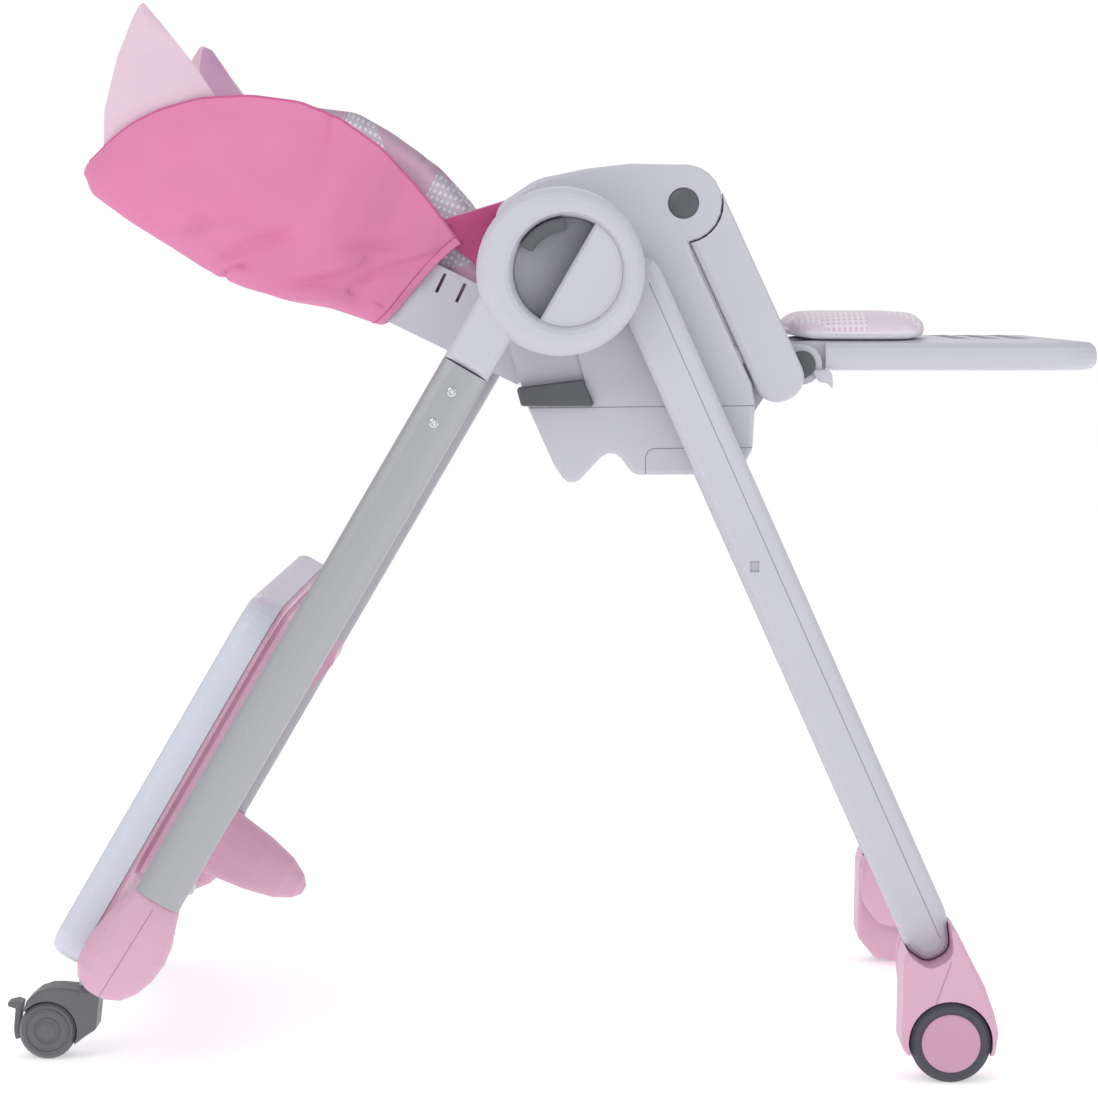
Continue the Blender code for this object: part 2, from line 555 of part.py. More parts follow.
# ---- legrest ----------------------------------------------------------------------
def legrest(paint):
    """Flat rest with a rounded end, cross slots in its top and a cushion."""
    low, high, half = 0.623, 0.6475, 0.158
    pivot = axis_point(REST_PIVOT, 0.0)
    ends = fillet([(0.208, -half), (0.497, -half), (0.497, half), (0.208, half)],
                  [0.0, 0.055, 0.055, 0.0], 8)
    levels = [(0.010, low), (0.004, low + 0.0015), (0.001, low + 0.005), (0.0, low + 0.010),
              (0.0, high - 0.010), (0.0015, high - 0.004), (0.006, high),
              (0.040, high + 0.0035)]
    rings = []
    for step, level in levels:
        rings.append([(x, y, level) for x, y in inset(ends, step)])
    rest = piece("legrest_shell", loft(rings), paint["plastic"], pivot, 35)
    for side, _ in SIDES:
        boolean(rest, block(0.19, 0.2465, side * 0.1457, side * 0.17, 0.60, 0.66),
                "DIFFERENCE")
    knuckle = [(0.0185, -0.1455), (0.0185, 0.1455)]
    boolean(rest, turned(knuckle, REST_PIVOT, 20), "UNION")
    for start in (0.366, 0.393, 0.421):
        boolean(rest, block(start, start + 0.016, -0.115, 0.115, high - 0.006, high + 0.01),
                "DIFFERENCE")
    pad = fillet([(0.212, 0.6513), (0.349, 0.6513), (0.351, 0.657), (0.325, 0.672),
                  (0.236, 0.6745), (0.209, 0.672)], [0.004, 0.004, 0.004, 0.014, 0.02, 0.008], 2)
    piece("legrest_pad", slab(pad, -0.150, 0.150, 0.002, 1), paint["pad"], pivot, 35)


# ---- stowed tray ------------------------------------------------------------------
def tray_slab(half_y, start, end, corner, levels):
    """Rounded rectangle square to the rear legs, its upper corners rounder than its lower
    ones; levels are (inset, offset from the leg)."""
    wide = corner + TRAY_ROUNDER
    shape = fillet([(start, -half_y), (end, -half_y), (end, half_y), (start, half_y)],
                   [wide, corner, corner, wide], 8)
    rings = []
    for step, offset in levels:
        ring = []
        for along, y in inset(shape, step):
            x, z = place(REAR, HUB, [(along, REAR_OFFSET + offset)])[0]
            ring.append((x, y, z))
        rings.append(ring)
    return loft(rings)


def tray(paint):
    pivot = axis_point(HUB, 0.0)
    rim = [(0.010, -0.0635), (0.004, -0.0615), (0.001, -0.0570), (0.0, -0.0520),
           (0.0, -0.0355)]
    top = piece("tray_top", tray_slab(0.2365, 0.380, 0.7530, 0.030, rim), paint["pale"],
                pivot, 35)
    boolean(top, tray_slab(0.2245, 0.392, 0.741, 0.022, [(0.0, -0.0600), (0.0, -0.02)]),
            "DIFFERENCE")
    base = piece("tray_base", tray_slab(0.2350, 0.3815, 0.7515, 0.029,
                                        [(0.0, -0.0352), (0.0, -0.0320)]), paint["pink"],
                 pivot, 35)
    boolean(base, tray_slab(0.2050, 0.392, 0.665, 0.040,
                            [(0.0, -0.0340), (0.0, -0.0280), (0.006, -0.0220)]), "UNION")
    centre = (0.638, 0.0)
    cone = []
    for radius, offset in ((0.040, -0.0217), (0.0370, 0.0), (0.0335, 0.022), (0.0285, 0.060),
                           (0.0215, 0.088), (0.0130, 0.104), (0.0050, 0.111)):
        ring = []
        for along, y in circle(centre, radius, 24):
            x, z = place(REAR, HUB, [(along, REAR_OFFSET + offset)])[0]
            ring.append((x, y, z))
        cone.append(ring)
    piece("tray_divider", loft(cone), paint["pink"], pivot, 40)
    shape = fillet([(0.404, -0.0217), (0.478, -0.0217), (0.470, 0.0166), (0.428, 0.0265),
                    (0.418, 0.0245)], [0.0, 0.0, 0.01, 0.005, 0.005], 2)
    lever = place(REAR, HUB, [(a, REAR_OFFSET + s) for a, s in shape])
    piece("tray_lever", slab(lever, -0.045, 0.045), paint["pink"], pivot, 35)


def main():
    clear_scene()
    paint = {
        "plastic": material("grey_plastic", "#D3D5DD", 0.40),
        "pale": material("pale_plastic", "#E4E6EA", 0.35),
        "pink": material("pink_plastic", "#E3B5D0", 0.38),
        "tube": material("tube_lacquer", "#A7ADB0", 0.35, 0.6),
        "charcoal": material("charcoal_plastic", "#5E6264", 0.45),
        "castor": material("castor_plastic", "#6E6F74", 0.50),
        "rubber": material("tyre_rubber", "#5F6469", 0.65),
        "steel": material("bolt_steel", "#B8BBBE", 0.30, 1.0),
        "fabric": material("pink_fabric", "#E58BB4", 0.85),
        "ear": material("pale_pink_fabric", "#E6BFD8", 0.85),
        "pad": material("pad_fabric", "#C9CBD6", 0.85),
        "strap": material("strap_webbing", "#8C8F98", 0.80),
    }
    front_frame(paint)
    rear_frame(paint)
    for side, tag in SIDES:
        front_wheel(side, tag, paint)
        castor(side, tag, paint)
        seat_side(side, tag, paint)
        armrest(side, tag, paint)
    seat_base(paint)
    backrest(paint)
    legrest(paint)
    tray(paint)


main()
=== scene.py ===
# %% [markdown]
# # A folding baby high chair
# The chair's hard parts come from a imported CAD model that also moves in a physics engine.
# This file adds what CAD leaves plain: cloth, padding, stitching, screws and real finishes.
# Each new piece is a surface worked out with numpy and made to ride on one CAD body.

# %% Load the frame
import math
import bpy
import numpy as np
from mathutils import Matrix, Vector


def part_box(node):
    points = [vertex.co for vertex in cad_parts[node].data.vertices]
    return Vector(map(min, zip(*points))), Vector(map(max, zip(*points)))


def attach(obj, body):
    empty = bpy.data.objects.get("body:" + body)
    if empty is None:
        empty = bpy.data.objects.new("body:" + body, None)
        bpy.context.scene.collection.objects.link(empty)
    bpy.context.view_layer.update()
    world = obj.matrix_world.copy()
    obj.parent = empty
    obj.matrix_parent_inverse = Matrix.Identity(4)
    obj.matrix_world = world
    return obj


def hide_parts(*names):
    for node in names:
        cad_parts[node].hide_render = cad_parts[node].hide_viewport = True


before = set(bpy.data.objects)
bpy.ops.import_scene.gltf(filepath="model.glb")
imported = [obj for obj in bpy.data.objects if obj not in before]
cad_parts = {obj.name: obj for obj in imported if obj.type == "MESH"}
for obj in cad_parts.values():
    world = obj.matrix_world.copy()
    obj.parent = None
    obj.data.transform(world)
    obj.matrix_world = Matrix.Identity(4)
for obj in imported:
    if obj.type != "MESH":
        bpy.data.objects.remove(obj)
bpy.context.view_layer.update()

# %% [markdown]
# ## Camera
# A long lens from almost three metres away keeps the side view nearly flat, as in a shop
# picture.  The camera stands at arm height and tips down a little to reach the wheels.

# %% Camera
camera = bpy.data.objects.new("camera", bpy.data.cameras.new("camera"))
camera.data.lens = 100.0
camera.data.sensor_width = 36.0
camera.location = (0.044, -2.90, 0.695)
camera.rotation_euler = (math.radians(90 - 4.853), 0.0, math.radians(0.955))
bpy.context.scene.collection.objects.link(camera)
bpy.context.scene.camera = camera
bpy.context.scene.view_settings.view_transform = "Standard"

# %% [markdown]
# ## Helpers
# A colour is written as the sRGB hex a designer would read off a swatch, and one function
# turns it linear.  One function adds any shader node, and one turns a grid of points into
# a mesh, so that every shape below is only its formula.

# %% Helpers
def linear(code):
    """sRGB hex to linear: a straight line near black and a 2.4 power above it."""
    parts = np.array([int(code[i:i + 2], 16) / 255 for i in (1, 3, 5)])
    return (*np.where(parts <= 0.04045, parts / 12.92, ((parts + 0.055) / 1.055) ** 2.4), 1.0)


def add(tree, kind, settings=None, links=None):
    """Adds a node; a setting is an attribute or an input, a link is input to socket."""
    node = tree.nodes.new(kind)
    for key, value in (settings or {}).items():
        if isinstance(key, str) and hasattr(node, key):
            setattr(node, key, value)
        else:
            node.inputs[key].default_value = value
    for key, socket in (links or {}).items():
        tree.links.new(socket, node.inputs[key])
    return node


def finish_named(name, settings):
    """A new material, its node tree, its shader and the object's own coordinates."""
    made = bpy.data.materials.new(name)
    made.use_nodes = True
    tree = made.node_tree
    shader = tree.nodes["Principled BSDF"]
    for key, value in settings.items():
        shader.inputs[key].default_value = value
    return made, tree, shader, add(tree, "ShaderNodeTexCoord").outputs["Object"]


def two_tone(tree, shader, factor, first, second):
    """Base colour that runs between two hex colours with factor."""
    mix = add(tree, "ShaderNodeMix", {"data_type": "RGBA"}, {"Factor": factor})
    mix.inputs[6].default_value = linear(first)
    mix.inputs[7].default_value = linear(second)
    tree.links.new(mix.outputs[2], shader.inputs["Base Color"])
    return mix


def grid_mesh(name, points, around=False, capped=False, pattern=None):
    """Quads between neighbours of a rows x columns x 3 array; around joins each row's ends,
    capped closes the first and last row with a fan from its middle."""
    rows, cols = points.shape[:2]
    index = np.arange(rows * cols).reshape(rows, cols)
    side = np.concatenate([index, index[:, :1]], 1) if around else index
    quads = np.stack([side[:-1, :-1], side[:-1, 1:], side[1:, 1:], side[1:, :-1]], -1)
    faces = quads.reshape(-1, 4).tolist()
    flat = points.reshape(-1, 3)
    if capped:
        middles = np.stack([points[0].mean(0), points[-1].mean(0)])
        flat = np.concatenate([flat, middles])
        low, high = rows * cols, rows * cols + 1
        first, last = side[0], side[-1]
        faces += np.stack([first[1:], first[:-1], np.full(len(first) - 1, low)], 1).tolist()
        faces += np.stack([last[:-1], last[1:], np.full(len(last) - 1, high)], 1).tolist()
    mesh = bpy.data.meshes.new(name)
    mesh.from_pydata(flat.tolist(), [], faces)
    mesh.validate()
    if pattern is not None:
        values = pattern.reshape(-1, 3)
        values = np.concatenate([values, np.zeros((len(flat) - len(values), 3))])
        layer = mesh.attributes.new("cut", "FLOAT_VECTOR", "POINT")
        layer.data.foreach_set("vector", values.astype(np.float32).ravel())
    mesh.shade_smooth()
    made = bpy.data.objects.new(name, mesh)
    bpy.context.scene.collection.objects.link(made)
    return made


def outward(piece):
    """Turns a closed mesh right side out when its signed volume is negative."""
    mesh = piece.data
    mesh.calc_loop_triangles()
    corner = np.zeros(len(mesh.loop_triangles) * 3, int)
    mesh.loop_triangles.foreach_get("vertices", corner)
    co = np.zeros(len(mesh.vertices) * 3)
    mesh.vertices.foreach_get("co", co)
    a, b, c = co.reshape(-1, 3)[corner.reshape(-1, 3)].transpose(1, 0, 2)
    if np.einsum("ij,ij->i", a, np.cross(b, c)).sum() < 0:
        mesh.flip_normals()
    return piece


def tube(name, path, radius, sides=10):
    """A round cord: circles of one radius set square to the path at each of its points."""
    path = np.asarray(path, float)
    run = np.gradient(path, axis=0)
    run /= np.linalg.norm(run, axis=1)[:, None]
    up = np.where(np.abs(run[:, 1:2]) > 0.9, [[1.0, 0.0, 0.0]], [[0.0, 1.0, 0.0]])
    across = np.cross(run, up)
    across /= np.linalg.norm(across, axis=1)[:, None]
    other = np.cross(run, across)
    turn = np.linspace(0, 2 * np.pi, sides, endpoint=False)[None, :, None]
    points = path[:, None] + radius * (across[:, None] * np.cos(turn)
                                       + other[:, None] * np.sin(turn))
    return outward(grid_mesh(name, points, around=True, capped=True))


def dress(piece, paint, body):
    """Gives a piece its material and its CAD body."""
    piece.data.materials.clear()
    piece.data.materials.append(paint)
    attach(piece, body)
    return piece


def smooth_step(x):
    """0 below 0, 1 above 1, and 3x^2 - 2x^3 between."""
    x = np.clip(x, 0, 1)
    return x * x * (3 - 2 * x)


def on_face(node, x, z, side):
    """Where rays along Y, coming from one side, meet a CAD part."""
    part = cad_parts[node]
    inwards = part.matrix_world.inverted()
    met = []
    for here_x, here_z in zip(x, z):
        start = inwards @ Vector((here_x, side * 0.5, here_z))
        hit, spot, *_ = part.ray_cast(start, Vector((0.0, -side, 0.0)))
        if hit:
            met.append(part.matrix_world @ spot)
    return np.array(met)


# %% [markdown]
# ## Moulded plastics
# Casings like these are injection-moulded polypropylene or ABS.  The mould is spark-eroded,
# which leaves a very fine even grain that breaks up the highlight.  The grain is about
# 0.3 mm on the real part; it is drawn at about 1 mm so that it still shows.

# %% Moulded plastics
GRAIN_MM = 1.0


def moulded(name, light, dark, roughness, grain=0.05, coat=0.0):
    """Two close tones in broad soft clouds, with the mould's fine grain as bump."""
    made, tree, shader, place = finish_named(
        name, {"Roughness": roughness, "IOR": 1.49, "Coat Weight": coat,
               "Coat Roughness": 0.25})
    cloud = add(tree, "ShaderNodeTexNoise", {"Scale": 9.0, "Detail": 2.0}, {"Vector": place})
    two_tone(tree, shader, cloud.outputs["Fac"], light, dark)
    speck = add(tree, "ShaderNodeTexNoise", {"Scale": 1000 / GRAIN_MM, "Detail": 1.0},
                {"Vector": place})
    bump = add(tree, "ShaderNodeBump", {"Strength": grain, "Distance": 0.0003},
               {"Height": speck.outputs["Fac"]})
    tree.links.new(bump.outputs["Normal"], shader.inputs["Normal"])
    return made


grey_pp = moulded("grey_moulded_polypropylene", "#CBCBD4", "#C4C4CE", 0.42)
white_abs = moulded("white_moulded_abs", "#D6D9E6", "#CFD2E0", 0.30, 0.02, 0.15)
pink_pp = moulded("pink_moulded_polypropylene", "#DDB1C6", "#D5A6BD", 0.38)
cap_pp = moulded("pink_wheel_cap_polypropylene", "#D09EBA", "#C996B3", 0.40)
charcoal_pp = moulded("charcoal_moulded_polypropylene", "#5E6063", "#55575B", 0.42)
castor_nylon = moulded("grey_castor_nylon", "#6D6E73", "#626267", 0.40)
tyre_tpe = moulded("soft_tyre_elastomer", "#4C4E56", "#44464D", 0.62, 0.12)
pink_gap = moulded("pink_shadow_gap_polypropylene", "#B07C9B", "#A87493", 0.70)
shadow_gap = moulded("shadow_gap_polypropylene", "#8B8C98", "#82838F", 0.70)
print("moulded plastics made")

# %% [markdown]
# ## Lacquered tube and plated screws
# The rear legs are oval steel tube under a satin grey lacquer.  Metal flake in the lacquer
# gives a broad soft highlight along the tube, so it gets some metallic and a thin coat.

# %% Metals
def satin_lacquer():
    """Fine streaks drawn out along the tube, from noise squeezed across it."""
    made, tree, shader, place = finish_named(
        "satin_metallic_lacquer", {"Metallic": 0.35, "Roughness": 0.40, "Coat Weight": 0.2,
                                   "Coat Roughness": 0.3})
    lie = add(tree, "ShaderNodeMapping", {"Rotation": (0.0, math.radians(-30.3), 0.0),
                                          "Scale": (1.0, 1.0, 0.03)}, {"Vector": place})
    streak = add(tree, "ShaderNodeTexNoise", {"Scale": 900.0, "Detail": 2.0},
                 {"Vector": lie.outputs["Vector"]})
    two_tone(tree, shader, streak.outputs["Fac"], "#AFB1B5", "#A9ABAF")
    bump = add(tree, "ShaderNodeBump", {"Strength": 0.03, "Distance": 0.0002},
               {"Height": streak.outputs["Fac"]})
    tree.links.new(bump.outputs["Normal"], shader.inputs["Normal"])
    return made


def zinc_plate():
    """Bright zinc on a screw head, slightly cloudy."""
    made, tree, shader, place = finish_named("zinc_plated_steel", {"Metallic": 1.0})
    cloud = add(tree, "ShaderNodeTexNoise", {"Scale": 400.0}, {"Vector": place})
    two_tone(tree, shader, cloud.outputs["Fac"], "#D8DADD", "#B9BCC0")
    spread = add(tree, "ShaderNodeMapRange", {"To Min": 0.15, "To Max": 0.30},
                 {"Value": cloud.outputs["Fac"]})
    tree.links.new(spread.outputs["Result"], shader.inputs["Roughness"])
    return made


lacquer = satin_lacquer()
zinc = zinc_plate()
print("metals made")

# %% [markdown]
# ## Cloth
# The cover is plain-woven polyester.  Threads lie about 0.4 mm apart; the weave is drawn at
# 1.2 mm so that it still shows.  The pads have a printed, lightly coated face: small
# white dots on a soft grey, with rows of plain triangles.

# %% Cloth
THREAD_MM = 1.2
DOT_MM = 5.0
TRIANGLE_ROW = 0.095                   # metres from one row of triangles to the next
TRIANGLE_HALF = 0.050                  # half a triangle's base


def woven(name, light, dark, sheen=0.25):
    """Two crossed bands for warp and weft, under slow clouds of colour."""
    made, tree, shader, place = finish_named(
        name, {"Roughness": 0.85, "Sheen Weight": sheen, "Sheen Roughness": 0.45,
               "Specular IOR Level": 0.25})
    slub = add(tree, "ShaderNodeTexNoise", {"Scale": 22.0, "Detail": 5.0}, {"Vector": place})
    two_tone(tree, shader, slub.outputs["Fac"], light, dark)
    bands = []
    for way in ("X", "Z"):
        band = add(tree, "ShaderNodeTexWave",
                   {"bands_direction": way, "Scale": 1000 / THREAD_MM / math.tau * 2,
                    "Distortion": 0.6, "Detail": 1.0}, {"Vector": place})
        bands.append(band.outputs["Fac"])
    cross = add(tree, "ShaderNodeMath", {"operation": "MULTIPLY"},
                {0: bands[0], 1: bands[1]})
    bump = add(tree, "ShaderNodeBump", {"Strength": 0.25, "Distance": 0.0004},
               {"Height": cross.outputs[0]})
    tree.links.new(bump.outputs["Normal"], shader.inputs["Normal"])
    return made


def dotted_print(name, ground, spot, triangle):
    """Dots on a square grid, and plain triangles whose half-width falls with height.
    Both are drawn on the pad's own flat coordinates, held in the attribute cut in metres;
    its third number is 1 on the plain white underside."""
    made, tree, shader, _ = finish_named(
        name, {"Roughness": 0.62, "Sheen Weight": 0.15,
               "Specular IOR Level": 0.3})
    cut = add(tree, "ShaderNodeAttribute", {"attribute_name": "cut"}).outputs["Vector"]
    axes = add(tree, "ShaderNodeSeparateXYZ", links={"Vector": cut})
    flat = add(tree, "ShaderNodeCombineXYZ", links={"X": axes.outputs["X"],
                                                    "Y": axes.outputs["Y"]})
    dots = add(tree, "ShaderNodeTexVoronoi", {"Scale": 1000 / DOT_MM, "Randomness": 0.0},
               {"Vector": flat.outputs["Vector"]})
    dot = add(tree, "ShaderNodeMapRange", {"From Min": 0.22, "From Max": 0.34, "To Min": 1.0,
                                           "To Max": 0.0}, {"Value": dots.outputs["Distance"]})
    wide = add(tree, "ShaderNodeMath", {"operation": "PINGPONG", 1: TRIANGLE_HALF},
               {0: axes.outputs["Y"]})
    tall = add(tree, "ShaderNodeMath", {"operation": "FLOORED_MODULO", 1: TRIANGLE_ROW},
               {0: axes.outputs["X"]})
    slope = add(tree, "ShaderNodeMath", {"operation": "MULTIPLY", 1: 1.5},
                {0: wide.outputs[0]})
    inside = add(tree, "ShaderNodeMath", {"operation": "LESS_THAN"},
                 {0: tall.outputs[0], 1: slope.outputs[0]})
    colour = add(tree, "ShaderNodeMix", {"data_type": "RGBA"},
                 {"Factor": dot.outputs["Result"]})
    colour.inputs[6].default_value = linear(ground)
    colour.inputs[7].default_value = linear(spot)
    printed = add(tree, "ShaderNodeMix", {"data_type": "RGBA"},
                 {"Factor": inside.outputs[0], 6: colour.outputs[2]})
    printed.inputs[7].default_value = linear(triangle)
    face = add(tree, "ShaderNodeMix", {"data_type": "RGBA"},
               {"Factor": axes.outputs["Z"], 6: printed.outputs[2]})
    face.inputs[7].default_value = linear("#EFEDF2")
    tree.links.new(face.outputs[2], shader.inputs["Base Color"])
    thread = add(tree, "ShaderNodeTexNoise", {"Scale": 700.0, "Detail": 2.0},
                 {"Vector": flat.outputs["Vector"]})
    bump = add(tree, "ShaderNodeBump", {"Strength": 0.15, "Distance": 0.0004},
               {"Height": thread.outputs["Fac"]})
    tree.links.new(bump.outputs["Normal"], shader.inputs["Normal"])
    return made


pink_weave = woven("pink_woven_polyester", "#E28BB3", "#DA80AA")
hem_pink = woven("pink_bias_binding", "#D26C9C", "#C65E90")
deep_pink = woven("deep_pink_woven_polyester", "#C4588A", "#B04A7C")
pale_weave = woven("pale_pink_woven_polyester", "#E5CCD9", "#DEC0D0")
lining_weave = woven("lavender_woven_lining", "#D2AAC9", "#C59DBE")
piping_weave = woven("white_piping_tape", "#F2F0F4", "#E8E6EC")
webbing = woven("grey_polyester_webbing", "#9A9CA5", "#868892", 0.1)
print_cloth = dotted_print("printed_coated_polyester", "#CEC6D6", "#F1EDF4", "#D6B0C8")
pale_print = dotted_print("pale_printed_coated_polyester", "#EAE5EC", "#DBC0D2", "#E4D5E1")
print("cloth made")

# %% [markdown]
# ## Finishes on the carried-over CAD parts
# Hard parts keep their CAD shape.  Only their material changes, chosen by the start of
# the node's name.

# %% CAD finishes
FINISHES = (
    (("front_leg", "hub_ring", "seat_side", "seat_base", "armrest_r", "armrest_l",
      "backrest_shell", "legrest_shell"), grey_pp),
    (("castor_bracket", "tray_top"), white_abs),
    (("front_foot", "rear_foot", "tray_base", "tray_divider", "tray_lever"), pink_pp),
    (("front_wheel_core",), cap_pp),
    (("rear_leg_tube", "front_crossbar", "rear_crossbar"), lacquer),
    (("fold_button", "height_lever", "armrest_button", "legrest_button", "recline_handle",
      "harness_buckle"), charcoal_pp),
    (("castor_housing", "castor_wheel", "brake_lever"), castor_nylon),
    (("front_tyre",), tyre_tpe),
    (("hub_bolt",), zinc),
)
painted = 0
for starts, paint in FINISHES:
    for name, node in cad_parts.items():
        if name.startswith(starts):
            node.data.materials.clear()
            node.data.materials.append(paint)
            painted += 1
print("CAD nodes painted", painted)

# %% [markdown]
# ## The backrest's own frame
# The back lies 26 degrees above the horizontal.  Its cloth is easiest to draw in the
# back's own directions: d up the back from the recline pivot, m out of its face, y across.

# %% Backrest frame
BACK_TILT = math.radians(26.0)
BACK_PIVOT = np.array([0.0, 0.0, 0.645])
UP_BACK = np.array([-math.cos(BACK_TILT), 0.0, math.sin(BACK_TILT)])
OUT_FACE = np.array([math.sin(BACK_TILT), 0.0, math.cos(BACK_TILT)])
ACROSS = np.array([0.0, 1.0, 0.0])


def on_back(d, m, y):
    """Pivot plus d up the back, m out of its face and y across; arrays broadcast."""
    d, m, y = np.broadcast_arrays(d, m, y)
    return BACK_PIVOT + d[..., None] * UP_BACK + m[..., None] * OUT_FACE + y[..., None] * ACROSS


# stations up the back for the fabric hood: its upper edge, its underside, its half-width
TOP_D = (0.110, 0.130, 0.151, 0.177, 0.213, 0.256, 0.294, 0.336, 0.375, 0.403, 0.421, 0.436,
         0.4425)
TOP_M = (0.045, 0.0555, 0.066, 0.078, 0.092, 0.099, 0.0965, 0.0825, 0.061, 0.036, 0.013,
         -0.018, -0.038)
LOW_D = (0.110, 0.140, 0.160, 0.193, 0.227, 0.272, 0.297, 0.337, 0.385, 0.430, 0.4425)
LOW_M = (-0.0485, -0.0495, -0.052, -0.055, -0.0644, -0.0725, -0.075, -0.0695, -0.0645,
         -0.0570, -0.044)
HALF_D = (0.110, 0.176, 0.200, 0.230, 0.290, 0.4425)
HALF_Y = (0.1618, 0.1622, 0.173, 0.179, 0.181, 0.181)
HOOD_END = 0.4425
CLOSE_FROM = 0.385                     # from here on the hood closes in
HEM_D = 0.112                          # where the curved hem starts at its upper corners


def eased(x, xs, ys):
    """Through the stations in straight runs, then averaged over a short window."""
    spread = np.linspace(-0.006, 0.006, 9)
    return np.mean([np.interp(x + s, xs, ys) for s in spread], axis=0)


# %% [markdown]
# ## Fabric hood
# The pink cover is a bag pulled over the top of the back.  Across the back it is a deep U;
# the U narrows to nothing at the head end, which closes the bag.  Pulls run from the hem
# and along the underside, where slack cloth gathers.

# %% Fabric hood
def hood_section(d):
    """Upper edge, underside and half-width at d; the last stretch closes in, most at the
    very end, where the width drops by 0.02 c^6."""
    closing = np.clip((d - CLOSE_FROM) / (HOOD_END - CLOSE_FROM), 0, 1)
    return (eased(d, TOP_D, TOP_M), eased(d, LOW_D, LOW_M),
            eased(d, HALF_D, HALF_Y) - 0.020 * closing ** 6, closing)


# folds on the hood's sides: both ends in the back's directions, half-width and height
FOLDS = (
    ((0.300, -0.066), (0.252, -0.006), 0.0060, -0.0052),
    ((0.292, -0.078), (0.276, -0.052), 0.0034, -0.0056),
    ((0.246, -0.062), (0.150, 0.012), 0.0060, -0.0040),
    ((0.228, -0.058), (0.140, -0.004), 0.0050, 0.0034),
    ((0.212, -0.030), (0.126, 0.042), 0.0080, 0.0042),
    ((0.200, -0.004), (0.124, 0.049), 0.0055, -0.0040),
    ((0.176, -0.026), (0.121, 0.046), 0.0050, -0.0044),
    ((0.156, -0.038), (0.122, 0.030), 0.0042, 0.0034),
    ((0.140, -0.036), (0.120, 0.010), 0.0036, -0.0026),
    ((0.365, -0.058), (0.318, -0.030), 0.0075, -0.0038),
    ((0.345, -0.052), (0.262, -0.060), 0.0090, 0.0034),
    ((0.330, -0.060), (0.296, -0.020), 0.0060, 0.0026),
    ((0.262, -0.066), (0.170, -0.044), 0.0060, 0.0030),
    ((0.262, 0.102), (0.258, 0.076), 0.0040, -0.0034),
    ((0.300, 0.000), (0.205, 0.055), 0.0200, 0.0026),
    ((0.270, -0.020), (0.190, 0.025), 0.0140, -0.0024),
    ((0.390, -0.010), (0.330, 0.020), 0.0180, -0.0020),
)


def hood_folds(d, m, side):
    """Each fold is a bell across a straight run and dies off past its two ends."""
    relief = 0.0008 * np.sin(19 * d + 15 * m + 0.6) * np.sin(24 * m - 8 * d) + 0.0 * m
    for (d0, m0), (d1, m1), wide, high in FOLDS:
        span = math.hypot(d1 - d0, m1 - m0)
        run, rise = (d1 - d0) / span, (m1 - m0) / span
        along = ((d - d0) * run + (m - m0) * rise) / span
        off = (m - m0) * run - (d - d0) * rise + 0.003 * np.sin(5 * along + 40 * d0)
        ends = smooth_step((along + 0.25) / 0.4) * smooth_step((1.2 - along) / 0.4)
        relief = relief + high * np.exp(-(off / wide) ** 2) * ends
    return relief * side


def hood_surface(first=0.0, last=1.0, rows=170, lift=0.0, bend=0.016):
    """Wall, quarter circle, floor, quarter circle, wall: a rounded U across the back.  The
    rows run from the curved hem to the head end; relief moves points along the normal."""
    c = np.linspace(0, 1, 301)[None, :]
    wall_a, bend_a = np.clip(c / 0.3, 0, 1), np.clip((c - 0.3) / 0.1, 0, 1)
    floor, bend_b = np.clip((c - 0.4) / 0.2, 0, 1), np.clip((c - 0.6) / 0.1, 0, 1)
    wall_b = np.clip((c - 0.7) / 0.3, 0, 1)
    down = np.minimum(wall_a, 1 - wall_b)
    hem = HEM_D + 0.026 * down ** 0.8 + 0.010 * np.minimum(bend_a, 1 - bend_b)
    t = np.linspace(first, last, rows)[:, None]
    d = hem + (HOOD_END - hem) * (1 - (1 - t) ** 1.5)
    top, low, half, closing = hood_section(d)
    r = np.minimum(bend, (top - low) / 2)
    quarter = np.pi / 2
    y = (-half + r * (1 - np.cos(quarter * bend_a)) + 2 * (half - r) * floor
         + r * np.sin(quarter * bend_b))
    drop = top - low - r
    m = (top - drop * wall_a - r * np.sin(quarter * bend_a)
         + r * (1 - np.cos(quarter * bend_b)) + drop * wall_b)
    crown = 0.0045 * np.sin(np.pi * down) * smooth_step((d - 0.18) / 0.05) * (1 - closing)
    y = y + crown * np.where(c < 0.5, -1.0, 1.0) * (np.abs(c - 0.5) > 0.2)
    points = on_back(d, m, y)
    normal = np.cross(np.gradient(points, axis=1), np.gradient(points, axis=0))
    normal /= np.maximum(np.linalg.norm(normal, axis=2), 1e-9)[..., None]
    normal *= 1.0 if (normal[rows // 3, 20] @ ACROSS) < 0 else -1.0
    side = smooth_step((np.abs(c - 0.5) - 0.06) / 0.08)
    relief = hood_folds(d, m, side) * (1 - closing ** 2)
    relief = relief + 0.0016 * (1 - side) * np.sin(31 * d + 14 * y) * np.sin(9 * d - 21 * y)
    # between the seat's side panels the cloth may stand out by 0.3 mm at most
    tight = (d < 0.185) & (np.abs(c - 0.5) > 0.2)
    relief = np.where(tight, np.clip(relief, -0.0030, 0.0003), relief) + lift
    return points + relief[..., None] * normal


def sheet_of(name, points, thick, paint):
    """A grid given a cloth's thickness, half to each side."""
    cloth = grid_mesh(name, points)
    wall = cloth.modifiers.new("wall", "SOLIDIFY")
    wall.thickness = thick
    wall.offset = 0.0
    return dress(cloth, paint, "backrest")


